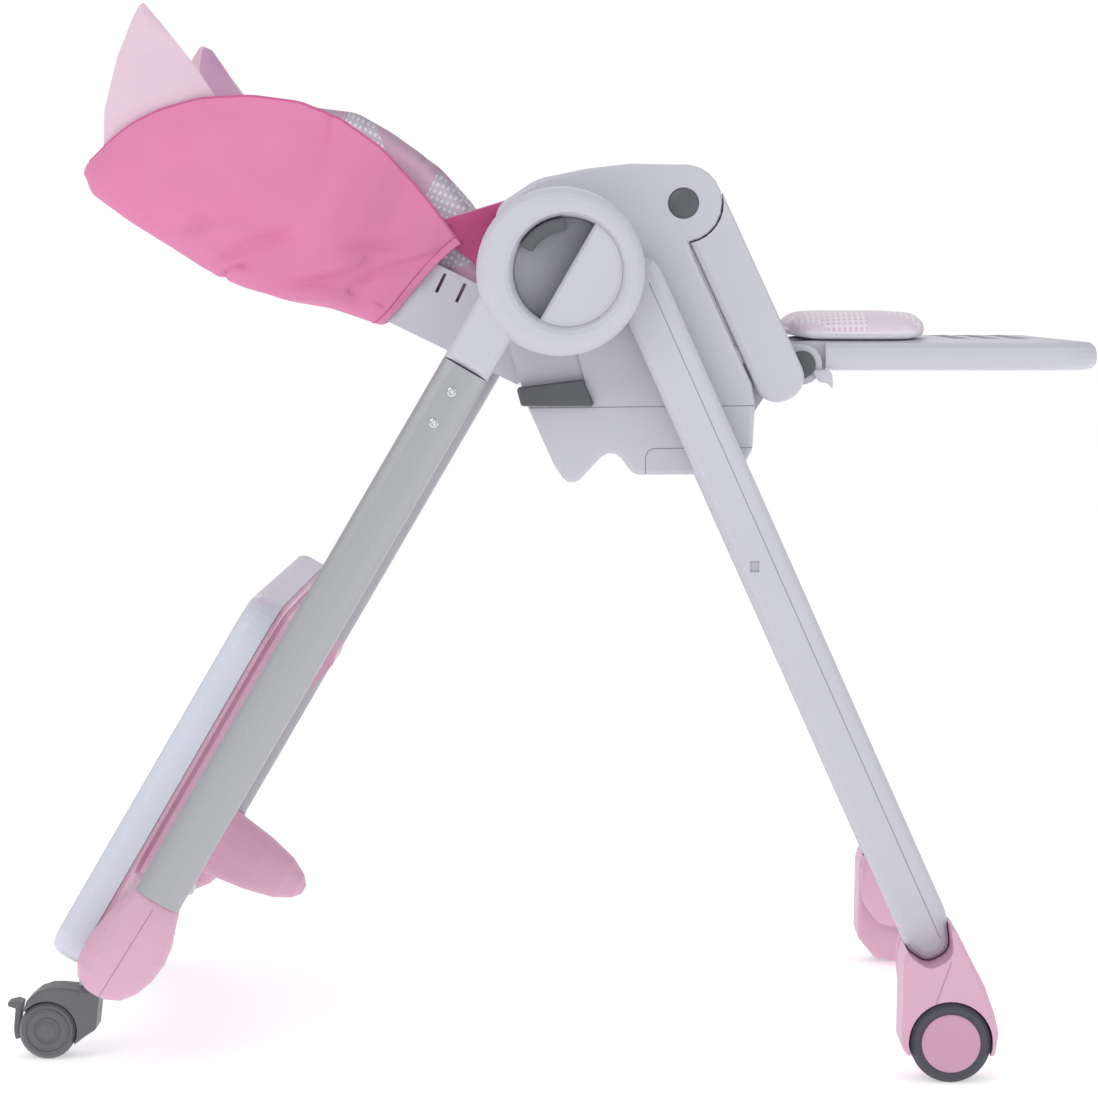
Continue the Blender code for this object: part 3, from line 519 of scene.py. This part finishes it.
hood_points = hood_surface()
hood = sheet_of("backrest_cover_cloth", hood_points, 0.0016, pink_weave)
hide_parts("backrest_cover")
hem = sheet_of("cover_hem_band", hood_surface(0.0, 0.014, 8, 0.0007), 0.0010, pink_weave)
for tag, column in (("r", 0), ("l", -1)):
    dress(tube("cover_edge_binding_" + tag, hood_points[::2, column], 0.0013), hem_pink,
          "backrest")
stitch_path = hood_surface(0.014, 0.016, 2, 0.0010)[0, ::3]
dress(tube("cover_hem_stitches", stitch_path, 0.0005, 6), deep_pink, "backrest")


def lid_surface():
    """Closes the head end of the bag: straight across between the two upper edges, with a
    crown that falls off as 1 - (y/half)^2, then down the end to the underside."""
    d = np.append(np.linspace(0.388, HOOD_END, 40), np.full(12, HOOD_END))[:, None]
    fall = np.append(np.zeros(40), np.linspace(0, 1, 12))[:, None]
    a = np.linspace(-1, 1, 90)[None, :]
    top, low, half, closing = hood_section(d)
    ridge = 0.004 * (1 - a ** 2) * (1 - closing) + 0.0008 * np.sin(26 * a + 60 * d)
    m = top + ridge * (1 - fall) + (low + 0.0006 - top) * fall
    return on_back(d + 0.0010 * np.sin(np.pi * fall) - 0.0003, m, a * (half - 0.001))


lid = sheet_of("cover_head_panel", lid_surface(), 0.0016, pink_weave)
print("hood", hood_points.shape)

# %% [markdown]
# ## Side gussets
# A darker pleated gusset joins the hood to the seat on each side, so that a child's arm
# can't slip out.  It is a patch between two edges with two soft pleats running along it.

# %% Side gussets
def gusset_surface(side):
    """Straight between four corners, bowed in y, with pleats as a sine across it."""
    u = np.linspace(0, 1, 60)[:, None]
    v = np.linspace(0, 1, 40)[None, :]
    top = np.array([-0.0985, 0.7565]) + u[..., None] * np.array([0.0650, 0.0200])
    low = np.array([-0.0900, 0.7370]) + u[..., None] * np.array([0.0560, -0.0480])
    flat = top + (low - top) * v[..., None]
    bow = 0.1600 - 0.010 * u + 0.0022 * np.sin(15 * v * (0.6 + 0.4 * u) + 1.2) * (0.3 + 0.7 * u)
    bow = bow - 0.004 * (2 * v - 1) ** 4
    x, z = np.broadcast_arrays(flat[..., 0], flat[..., 1])
    return np.stack([x, side * np.minimum(bow, 0.1625), z], -1)


for side, tag in ((-1, "r"), (1, "l")):
    gusset = sheet_of("side_gusset_" + tag, gusset_surface(side), 0.0018, deep_pink)
    edge = gusset_surface(side)[:, 0]
    dress(tube("gusset_edge_" + tag, edge, 0.0011), pink_weave, "backrest")
print("gussets made")

# %% [markdown]
# ## Backrest pad
# The insert is a thick quilted U: a flat middle and two raised wings.  It is a centre line
# across the back, given a thickness that rounds off at both ends, and pinched at each
# sewn channel.  The printed cloth is laid out by distance up the back and round the U.

# %% Backrest pad
PAD_START, PAD_END = 0.064, 0.393      # how far the insert runs up the back
PAD_HALF_Y = 0.1375                    # its centre line's half-width
PAD_FLOOR = -0.0205                    # its centre line's level in the middle
PAD_THICK = 0.0125                     # half its thickness
PRINT_SHIFT = 0.03                     # moves the rows of triangles along the insert
WING_D = np.array([0.060, 0.100, 0.140, 0.177, 0.214, 0.249, 0.275, 0.310, 0.360, 0.396])
WING_TOP = np.array([0.030, 0.070, 0.0895, 0.104, 0.110, 0.112, 0.103, 0.092, 0.064, 0.024])
CHANNELS = (0.115, 0.175, 0.235, 0.295, 0.350)


def pad_surface(rows=160, cols=200):
    """Centre line |y/b|^7 + ((top - m)/h)^7 = 1; a point sits off it by the thickness
    times |sin|^0.35, so the section is an even slab with round ends."""
    d = np.linspace(PAD_START, PAD_END, rows)[:, None]
    turn = np.linspace(0, 2 * np.pi, cols, endpoint=False)[None, :]
    s = 0.5 - 0.5 * np.cos(turn)
    arc = np.pi * s
    thick = PAD_THICK * np.ones_like(d)
    for seam in CHANNELS:
        thick = thick - 0.0035 * np.exp(-((d - seam) / 0.004) ** 2)
    middle_out = np.abs(2 * (d - PAD_START) / (PAD_END - PAD_START) - 1)
    ends = np.clip(1 - middle_out ** 14, 0.05, 1) ** 0.5
    thick = thick * ends
    top = eased(d, WING_D, WING_TOP) - 0.001
    power = 2 / 7
    y = -PAD_HALF_Y * np.sign(np.cos(arc)) * np.abs(np.cos(arc)) ** power
    m = top - (top - PAD_FLOOR) * np.abs(np.sin(arc)) ** power
    y, m = np.broadcast_arrays(y, m)
    ty, tm = np.gradient(y, axis=1), np.gradient(m, axis=1)
    size = np.maximum(np.hypot(ty, tm), 1e-9)
    flip = np.where(np.sin(turn) >= 0, 1.0, -1.0)
    ny, nm = -tm / size * flip, ty / size * flip
    off = thick * np.sign(np.sin(turn)) * np.abs(np.sin(turn)) ** 0.35
    y, m = y + ny * off, m + nm * off
    across = np.sign(y) * (np.abs(y) + m)
    return on_back(d, m, y), np.stack(np.broadcast_arrays(d + PRINT_SHIFT, across, 0.0), -1)


pad_points, pad_pattern = pad_surface()
back_pad = outward(grid_mesh("backrest_pad_cushion", pad_points, True, True, pad_pattern))
dress(back_pad, print_cloth, "backrest")
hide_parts("backrest_pad")
print("back pad", pad_points.shape)

# %% [markdown]
# ## Ears
# Two plain pointed flaps of lightly stuffed cloth stand on the hood's edge, pale outside
# with a darker lining panel inside.  A flap is its width, which tapers along a gentle
# curve to the tip, times a lens-shaped thickness.

# %% Ears
def ear_surface(side, first=-1.0, last=1.0, lift=0.0, rows=70, cols=64):
    """Left and right edges run from the base to a blunt tip.  Across a flap, a runs from -1
    to 1 and the thickness is a sine of the way round; the far flap sits a little lower."""
    v = np.linspace(0, 1, rows)[:, None]
    s = 1 - (1 - v) ** 1.25
    slump = 0.0 if side < 0 else 1.0
    blunt = slump * smooth_step((s - 0.55) / 0.45)
    left_d = np.interp(s, [0, 0.22, 0.5, 0.8, 0.95, 1], [0.4315, 0.4480, 0.4575, 0.4600, 0.4592,
                                                        0.4575]) - 0.016 * slump * s
    left_d = left_d + 0.005 * blunt
    left_m = np.interp(s, [0, 0.22, 0.5, 0.8, 0.95, 1], [-0.0240, 0.014, 0.062, 0.0970, 0.1110,
                                                        0.1146]) - 0.006 * slump * s
    right_d = np.interp(s, [0, 0.33, 0.66, 0.92, 0.98, 1], [0.3600, 0.3925, 0.4240, 0.4500,
                                                           0.4540, 0.4565]) - 0.014 * slump * s
    right_d = right_d - 0.006 * blunt
    right_m = np.interp(s, [0, 0.33, 0.66, 0.92, 0.98, 1], [0.0660, 0.0850, 0.1005, 0.1120,
                                                           0.1140, 0.1147]) - 0.006 * slump * s
    turn = np.linspace(0, 2 * np.pi, cols, endpoint=False)[None, :]
    a = (first + last) / 2 + (last - first) / 2 * np.cos(turn)
    d = (left_d + right_d) / 2 + (right_d - left_d) / 2 * a
    m = (left_m + right_m) / 2 + (right_m - left_m) / 2 * a
    thick = 0.0040 * (0.75 * np.sin(np.pi * (0.16 + 0.80 * v)) + 0.12) * (1 - 0.5 * a ** 2)
    curl = 0.0030 * np.sin(2.6 * v) + 0.0010 * np.sin(11 * v + 2 * a)
    y = side * (0.1730 - lift + curl) + thick * np.sin(turn)
    return on_back(d, m, y)


for side, tag in ((-1, "r"), (1, "l")):
    ear = outward(grid_mesh("ear_flap_" + tag, ear_surface(side), True, True))
    dress(ear, pale_weave, "backrest")
    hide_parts("ear_" + tag)
    rim = -0.50 if side > 0 else -0.62
    inner = outward(grid_mesh("ear_lining_" + tag, ear_surface(side, rim, 0.94, 0.0010), True,
                              True))
    dress(inner, lining_weave, "backrest")
print("ears made")

# %% [markdown]
# ## Seat and legrest cushions
# Both are small stuffed cushions with a nearly flat underside.  A superellipsoid gives the boxy
# but rounded body; pushing it with an even air pressure as cloth crowns the faces and
# pulls the sides in between the corners.

# %% Cushions
SEAM_RISE = 0.30                       # the sewn edge's height as a share of the cushion's


def cushion_surface(low, high, power=0.35, rows=70, cols=120):
    """x, y and z are powers of sines and cosines, so the body is a rounded box between
    the two corners; a low power below makes the underside nearly flat."""
    low, high = np.array(low), np.array(high)
    middle, half = (low + high) / 2, (high - low) / 2
    rise = np.linspace(-np.pi / 2, np.pi / 2, rows)[1:-1, None]
    turn = np.linspace(-np.pi, np.pi, cols, endpoint=False)[None, :]

    def bent(value):
        return np.sign(value) * np.abs(value) ** power

    x = bent(np.cos(rise)) * bent(np.cos(turn))
    y = bent(np.cos(rise)) * bent(np.sin(turn))
    z = np.sin(rise)
    z = np.where(z < 0, -np.abs(z) ** 0.3, np.abs(z) ** 0.75) + 0 * turn
    return middle + half * np.stack([x, y, z], -1)


def puff(piece, cap):
    """Remesh, let cloth swell under pressure with no weight, cap each point's travel and
    subdivide once."""
    dg = bpy.context.evaluated_depsgraph_get
    remesh = piece.modifiers.new("remesh", "REMESH")
    remesh.mode = "VOXEL"
    remesh.voxel_size = 0.005
    mesh = bpy.data.meshes.new_from_object(piece.evaluated_get(dg()))
    piece.modifiers.clear()
    piece.data = mesh
    start = np.zeros(len(mesh.vertices) * 3)
    mesh.vertices.foreach_get("co", start)
    cloth = piece.modifiers.new("cloth", "CLOTH")
    cloth.settings.use_pressure = True
    cloth.settings.uniform_pressure_force = 4.0
    cloth.settings.effector_weights.gravity = 0.0
    for step in range(1, 21):
        bpy.context.scene.frame_set(step)
    moved = bpy.data.meshes.new_from_object(piece.evaluated_get(dg()))
    bpy.context.scene.frame_set(1)
    piece.modifiers.clear()
    end = np.zeros(len(moved.vertices) * 3)
    moved.vertices.foreach_get("co", end)
    travel = (end - start).reshape(-1, 3)
    far = np.linalg.norm(travel, axis=1)[:, None]
    travel *= np.minimum(1.0, cap / np.maximum(far, 1e-9))
    travel[:, 2] = np.where(start.reshape(-1, 3)[:, 2] < start.reshape(-1, 3)[:, 2].min()
                            + 0.004, 0.0, travel[:, 2])
    moved.vertices.foreach_set("co", (start.reshape(-1, 3) + travel).ravel())
    piece.data = moved
    finer = piece.modifiers.new("finer", "SUBSURF")
    finer.levels = finer.render_levels = 1
    piece.data = bpy.data.meshes.new_from_object(piece.evaluated_get(dg()))
    piece.modifiers.clear()
    piece.data.shade_smooth()


def overhang(y):
    """0 over the board and 1 beyond it: a smooth step from 115 to 140 mm off the middle."""
    return smooth_step((np.abs(y) - 0.115) / 0.025)


def settle(piece, droop):
    """Lets the underside sink by droop where the board below falls away; the top stays."""
    co = np.zeros(len(piece.data.vertices) * 3)
    piece.data.vertices.foreach_get("co", co)
    co = co.reshape(-1, 3)
    rise = (co[:, 2] - co[:, 2].min()) / np.ptp(co[:, 2])
    co[:, 2] -= droop * overhang(co[:, 1]) * (1 - rise)
    piece.data.vertices.foreach_set("co", co.ravel())


def flat_pattern(piece):
    """Writes each point's x and y as its place on the printed cloth; the third number is 1
    below the sewn edge, where the cloth is plain."""
    mesh = piece.data
    co = np.zeros(len(mesh.vertices) * 3, np.float32)
    mesh.vertices.foreach_get("co", co)
    layer = mesh.attributes.get("cut") or mesh.attributes.new("cut", "FLOAT_VECTOR", "POINT")
    values = co.reshape(-1, 3).copy()
    rise = (values[:, 2] - values[:, 2].min()) / np.ptp(values[:, 2])
    values[:, 2] = rise < SEAM_RISE
    layer.data.foreach_set("vector", values.ravel())


def widest_ring(piece, level, count=121):
    """A rounded rectangle as long and as wide as the stuffed cushion, at one level: x and y
    are half-sizes times the 0.42 power of a cosine and a sine.  The sewn edge runs there."""
    co = np.zeros(len(piece.data.vertices) * 3)
    piece.data.vertices.foreach_get("co", co)
    low, high = co.reshape(-1, 3).min(0), co.reshape(-1, 3).max(0)
    middle, half = (low + high) / 2, (high - low) / 2 - 0.0005
    turn = np.linspace(0, math.tau, count)
    x = middle[0] + half[0] * np.sign(np.cos(turn)) * np.abs(np.cos(turn)) ** 0.42
    y = middle[1] + half[1] * np.sign(np.sin(turn)) * np.abs(np.sin(turn)) ** 0.42
    return np.column_stack([x, y, np.full(count, level)])


CUSHIONS = (
    ("seat_cushion", "seat_pad", "seat", 0.006, 0.0, print_cloth),
    ("legrest_cushion", "legrest_pad", "legrest", 0.005, 0.0034, pale_print),
)
for name, node, body, cap, droop, cloth in CUSHIONS:
    low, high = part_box(node)
    shy = np.array([0.004, 0.004, 0.0])
    body_points = cushion_surface(np.array(low) + shy, np.array(high) - shy - [0, 0, 0.004])
    cushion = outward(grid_mesh(name, body_points, True, True))
    puff(cushion, cap)
    settle(cushion, droop)
    flat_pattern(cushion)
    dress(cushion, cloth, body)
    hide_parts(node)
    seam = widest_ring(cushion, low[2] + SEAM_RISE * (high[2] - low[2]))
    seam[:, 2] -= (1 - SEAM_RISE) * droop * overhang(seam[:, 1])
    dress(tube(name + "_piping", seam, 0.0016), piping_weave, body)
    print(name, len(cushion.data.vertices), "points")

# %% [markdown]
# ## Harness
# Webbing is flat and stiff across, so it is modelled directly: a thin closed strip along a
# path, with its two edges slightly thinner than its middle.

# %% Harness
def strip(name, path, width, thick, face):
    """A lens-thin closed section, width across face and thick along it, along a path."""
    path, face = np.asarray(path, float), np.asarray(face, float)
    run = np.gradient(path, axis=0)
    run /= np.linalg.norm(run, axis=1)[:, None]
    side = np.cross(face, run)
    side /= np.linalg.norm(side, axis=1)[:, None]
    turn = np.linspace(0, 2 * np.pi, 24, endpoint=False)[None, :, None]
    wide = np.sign(np.cos(turn)) * np.abs(np.cos(turn)) ** 0.25 * width / 2
    tall = np.sign(np.sin(turn)) * np.abs(np.sin(turn)) ** 0.6 * thick / 2
    return outward(grid_mesh(name, path[:, None] + side[:, None] * wide + face * tall, True,
                             True))


t = np.linspace(0, 1, 40)
for side, tag in ((-1, "r"), (1, "l")):
    path = on_back(0.13 + 0.22 * t, -0.0055 + 0.0008 * np.sin(9 * t), side * (0.0485 + 0 * t))
    strap = dress(strip("shoulder_webbing_" + tag, path, 0.026, 0.0022, OUT_FACE), webbing,
                  "backrest")
    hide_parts("shoulder_strap_" + tag)
low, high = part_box("crotch_strap")
path = np.stack([low[0] + (high[0] - low[0]) * t, 0 * t, 0.6418 + 0.0014 * t], 1)
crotch = dress(strip("crotch_webbing", path, 0.030, 0.0022, (0, 0, 1)), webbing, "seat")
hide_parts("crotch_strap")
print("harness made")

# %% [markdown]
# ## Small fixings and part lines
# Two plated screws hold each leg tube in its sleeve.  Where two mouldings meet, the joint
# shows as a fine dark line.

# %% Screws
LEG_TILT = math.radians(30.3)
ALONG_LEG = np.array([-math.sin(LEG_TILT), 0.0, -math.cos(LEG_TILT)])
HUB = np.array([0.010, 0.0, 0.711])
LEG_BACK = np.array([math.cos(LEG_TILT), 0.0, -math.sin(LEG_TILT)]) * -0.0286


def screw_head(name, middle, side, radius=0.0044):
    """A domed disc: radius times sine outwards, a flat dome times cosine, and a dimple."""
    rise = np.linspace(0.02, np.pi / 2, 14)[:, None]
    turn = np.linspace(0, 2 * np.pi, 32, endpoint=False)[None, :]
    r = radius * np.sin(rise)
    out = 0.0013 * np.cos(rise) - 0.0012 * np.exp(-(r / 0.0014) ** 2)
    points = np.stack([middle[0] + r * np.cos(turn), middle[1] + side * (out + 0 * turn),
                       middle[2] + r * np.sin(turn)], -1)
    return outward(grid_mesh(name, points, True, True))


for side, tag in ((-1, "r"), (1, "l")):
    for number, reach in ((1, 0.137), (2, 0.168)):
        spot = HUB + LEG_BACK + reach * ALONG_LEG + side * 0.2681 * ACROSS
        dress(screw_head("leg_screw_%s_%d" % (tag, number), spot, side), zinc, "rear_frame")
print("screws made")


# %% Part lines
def part_line(name, corners, level, side, body, width=0.0007):
    """A fine dark cord let half its thickness into the moulding along straight runs."""
    corners = np.array(corners)
    step = np.linspace(0, len(corners) - 1, 12 * (len(corners) - 1) + 1)
    x = np.interp(step, np.arange(len(corners)), corners[:, 0])
    z = np.interp(step, np.arange(len(corners)), corners[:, 1])
    path = np.stack([x, np.full_like(x, side * level), z], 1)
    return dress(tube(name, path, width / 2, 6), shadow_gap, body)


LINES = (
    ("panel_seam", [(-0.0182, 0.5907), (0.1810, 0.5930)], 0.195, "seat"),
    ("cover_seam", [(0.0846, 0.5325), (0.0846, 0.5473), (0.0868, 0.5525), (0.0912, 0.5548),
                    (0.1788, 0.5558)], 0.195, "seat"),
)
for name, corners, level, body in LINES:
    for side, tag in ((-1, "r"), (1, "l")):
        part_line(name + "_" + tag, corners, level, side, body)

FRONT_TILT = math.radians(24.15)
SEAM_OFFSET = 0.066                    # the leg's seam lies this far forward of the hub line


def down_leg(reach):
    """x and z of a point on the front leg's seam, reach metres down from the hub."""
    c, s = math.cos(FRONT_TILT), math.sin(FRONT_TILT)
    return HUB[0] + SEAM_OFFSET * c + reach * s, HUB[2] + SEAM_OFFSET * s - reach * c


SEAMS = (
    ("leg_seam", "front_leg", "front_frame", "grey_plastic",
     down_leg(0.040), down_leg(0.683), shadow_gap),
    ("foot_seam", "front_foot", "front_frame", "pink_plastic", (0.3530, 0.1080),
     (0.3375, 0.0640), pink_gap),
    ("bulb_seam", "rear_foot", "rear_frame", "pink_plastic", (-0.3475, 0.1530),
     (-0.3985, 0.0715), pink_gap),
)
for name, node, body, slot, start, stop, paint in SEAMS:
    for side, tag in ((-1, "r"), (1, "l")):
        x, z = np.linspace(start[0], stop[0], 60), np.linspace(start[1], stop[1], 60)
        path = on_face("%s_%s" % (node, tag), x, z, side)
        dress(tube("%s_%s" % (name, tag), path, 0.0003, 6), paint, body)
print("part lines made")

# %% [markdown]
# ## Castor faces, foot cheeks and hooks
# Each castor wheel has a snap-in cap inside two moulded ridges.  The front feet are fuller
# on their inner side, where a rounded cheek backs the leg.  A small hook under each legrest
# pivot holds the cover's elastic.

# %% Castor faces
def disc(name, centre, radius, level, rise, side):
    """A low dome about Y: its height falls as 1 - (r/R)^4 to a short rim."""
    r = np.concatenate([np.linspace(0.0003, radius, 16), [radius]])[:, None]
    turn = np.linspace(0, 2 * np.pi, 48, endpoint=False)[None, :]
    out = rise * (1 - (r / radius) ** 4)
    out[-1] = -0.0012
    return outward(grid_mesh(name, np.stack([
        centre[0] + r * np.cos(turn), side * (level + out + 0 * turn),
        centre[1] + r * np.sin(turn)], -1), True, True))


for side, tag in ((-1, "r"), (1, "l")):
    low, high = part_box("castor_wheel_out_" + tag)
    face = max(abs(low[1]), abs(high[1]))
    axle = ((low[0] + high[0]) / 2, (low[2] + high[2]) / 2)
    dress(disc("castor_cap_" + tag, axle, 0.0085, face, 0.0010, side), castor_nylon,
          "castor_roller_out_" + tag)
    turn = np.linspace(0, 2 * np.pi, 73)
    for number, radius in enumerate((0.0115, 0.0195)):
        ridge = np.stack([axle[0] + radius * np.cos(turn), np.full_like(turn, side * face),
                          axle[1] + radius * np.sin(turn)], 1)
        dress(tube("castor_ridge_%s_%d" % (tag, number), ridge, 0.0008), castor_nylon,
              "castor_roller_out_" + tag)


# %% Foot cheeks and hooks
def pebble(name, outline, level, thick, side):
    """A closed outline filled to a rounded plate: rings shrink to its middle as the
    thickness rises by the quarter-ellipse rule."""
    outline = np.array(outline)
    count = len(outline)
    where = np.linspace(0, count, 20 * count, endpoint=False)
    ring = np.stack([np.interp(where, np.arange(count + 1), np.append(outline[:, k],
                                                                     outline[0, k]))
                     for k in (0, 1)], 1)
    for _ in range(40):
        ring = (np.roll(ring, 1, 0) + 2 * ring + np.roll(ring, -1, 0)) / 4
    middle = ring.mean(0)
    t = np.linspace(-1, 1, 40)[:, None, None]
    shrink = np.clip(1 - np.abs(t) ** 3, 0.0, 1) ** 0.5 * 0.97 + 0.03
    flat = middle + (ring - middle)[None] * shrink
    y = np.broadcast_to(side * (level + thick / 2 * t[..., 0]), flat.shape[:2])
    return outward(grid_mesh(name, np.stack([flat[..., 0], y, flat[..., 1]], -1), True, True))


CHEEK = ((0.3160, 0.1280), (0.3110, 0.1000), (0.3130, 0.0700), (0.3300, 0.0480),
         (0.3560, 0.0440), (0.3760, 0.0560), (0.3800, 0.0820), (0.3650, 0.1120),
         (0.3500, 0.1360), (0.3340, 0.1440))
HOOK = ((0.2330, 0.6240), (0.2520, 0.6240), (0.2530, 0.6055), (0.2480, 0.6120),
        (0.2400, 0.6125))
for side, tag in ((-1, "r"), (1, "l")):
    dress(pebble("front_foot_cheek_" + tag, CHEEK, 0.1855, 0.0260, side), pink_pp,
          "front_frame")
    dress(pebble("legrest_hook_" + tag, HOOK, 0.1625, 0.0040, side), grey_pp, "legrest")
print("castor faces, cheeks and hooks made")

# %% [markdown]
# ## Dished finger well with painted shade
# The hollow of the ring falls into shade beside the grip.  A very shallow dish, a surface
# of revolution 0.2 to 0.4 mm proud, lines it; a pressed fold button still clears it.  The
# shade is painted: the dish's paint darkens along the direction square to the grip.

# %% Finger well
WELL = np.array([0.016, 0.0, 0.711])
WELL_RADIUS = 0.0469                   # just inside the ring's bore
WELL_FLOOR = 0.2480                    # where the ring's own floor lies


def well_painted_shade():
    """Painted shade: dark beside the grip's straight edge, lighter towards the open rim."""
    made, tree, shader, place = finish_named("painted_shade_well_polypropylene", {"Roughness": 0.5})
    turn = add(tree, "ShaderNodeMapping", {"Rotation": (0.0, math.radians(60.0), 0.0)},
               {"Vector": place})
    axes = add(tree, "ShaderNodeSeparateXYZ", links={"Vector": turn.outputs["Vector"]})
    painted_shade_fade = add(tree, "ShaderNodeMapRange", {"From Min": 0.3400, "From Max": 0.3860},
               {"Value": axes.outputs["Z"]})
    # painted shade: the dark grey stands for the well's shade, the light grey for its lit rim
    two_tone(tree, shader, painted_shade_fade.outputs["Result"], "#767682", "#B8B8C2")
    return made


dish_painted_shade = well_painted_shade()
for side, tag in ((-1, "r"), (1, "l")):
    r = np.linspace(0.0005, WELL_RADIUS, 30)[:, None]
    turn = np.linspace(0, 2 * np.pi, 72, endpoint=False)[None, :]
    level = WELL_FLOOR + 0.0002 + 0.0002 * (r / WELL_RADIUS) ** 3 + 0 * turn
    dish = np.stack([WELL[0] + r * np.cos(turn), side * level, WELL[2] + r * np.sin(turn)], -1)
    back = dish[::-1].copy()
    back[..., 1] = side * WELL_FLOOR
    # a thin sheet over the ring's floor that carries the well's painted shade
    dish = outward(grid_mesh("painted_shade_well_dish_" + tag, np.concatenate([dish, back[:1]]), True, True))
    dress(dish, dish_painted_shade, "rear_frame")
print("wells made")

# %% [markdown]
# ## Stage and light
# The floor is white acrylic lit from behind, and large soft lights stand above and in
# front, which gives even shop light with a faint shadow under the chair.

# %% Stage and light
floor = grid_mesh("floor", np.stack(np.meshgrid(np.linspace(-30, 30, 3), np.linspace(-30, 30, 3))
                                    + [np.full((3, 3), -0.0005)], -1))
paper, tree, shader, place = finish_named(
    "backlit_white_acrylic", {"Roughness": 0.9, "Specular IOR Level": 0.0,
                              "Emission Color": (1.0, 1.0, 1.0, 1.0),
                              "Emission Strength": 0.42})
cloud = add(tree, "ShaderNodeTexNoise", {"Scale": 0.8}, {"Vector": place})
two_tone(tree, shader, cloud.outputs["Fac"], "#FCFCFC", "#F8F8F8")
floor.data.materials.append(paper)

world = bpy.data.worlds.new("studio")
world.use_nodes = True
sky = world.node_tree.nodes["Background"]
sky.inputs["Color"].default_value = (1.0, 1.0, 1.0, 1.0)
seen = add(world.node_tree, "ShaderNodeLightPath").outputs["Is Camera Ray"]
level = add(world.node_tree, "ShaderNodeMapRange", {"To Min": 0.61, "To Max": 1.05},
            {"Value": seen})
world.node_tree.links.new(level.outputs["Result"], sky.inputs["Strength"])
bpy.context.scene.world = world
LIGHTS = (
    ("key", (-1.6, -2.4, 2.6), 2.0, 25.0),
    ("fill", (2.2, -1.8, 1.8), 2.0, 9.0),
    ("back", (0.0, 2.6, 2.6), 2.0, 15.0),
)
for name, place, size, power in LIGHTS:
    lamp = bpy.data.lights.new(name, "AREA")
    lamp.size = size
    lamp.energy = power
    lit = bpy.data.objects.new(name, lamp)
    lit.location = place
    aim = np.array([0.0, 0.0, 0.5]) - np.array(place)
    lit.rotation_mode = "QUATERNION"
    bpy.context.scene.collection.objects.link(lit)
    lit.rotation_quaternion = Vector(aim).to_track_quat("-Z", "Y")
print("lights set")
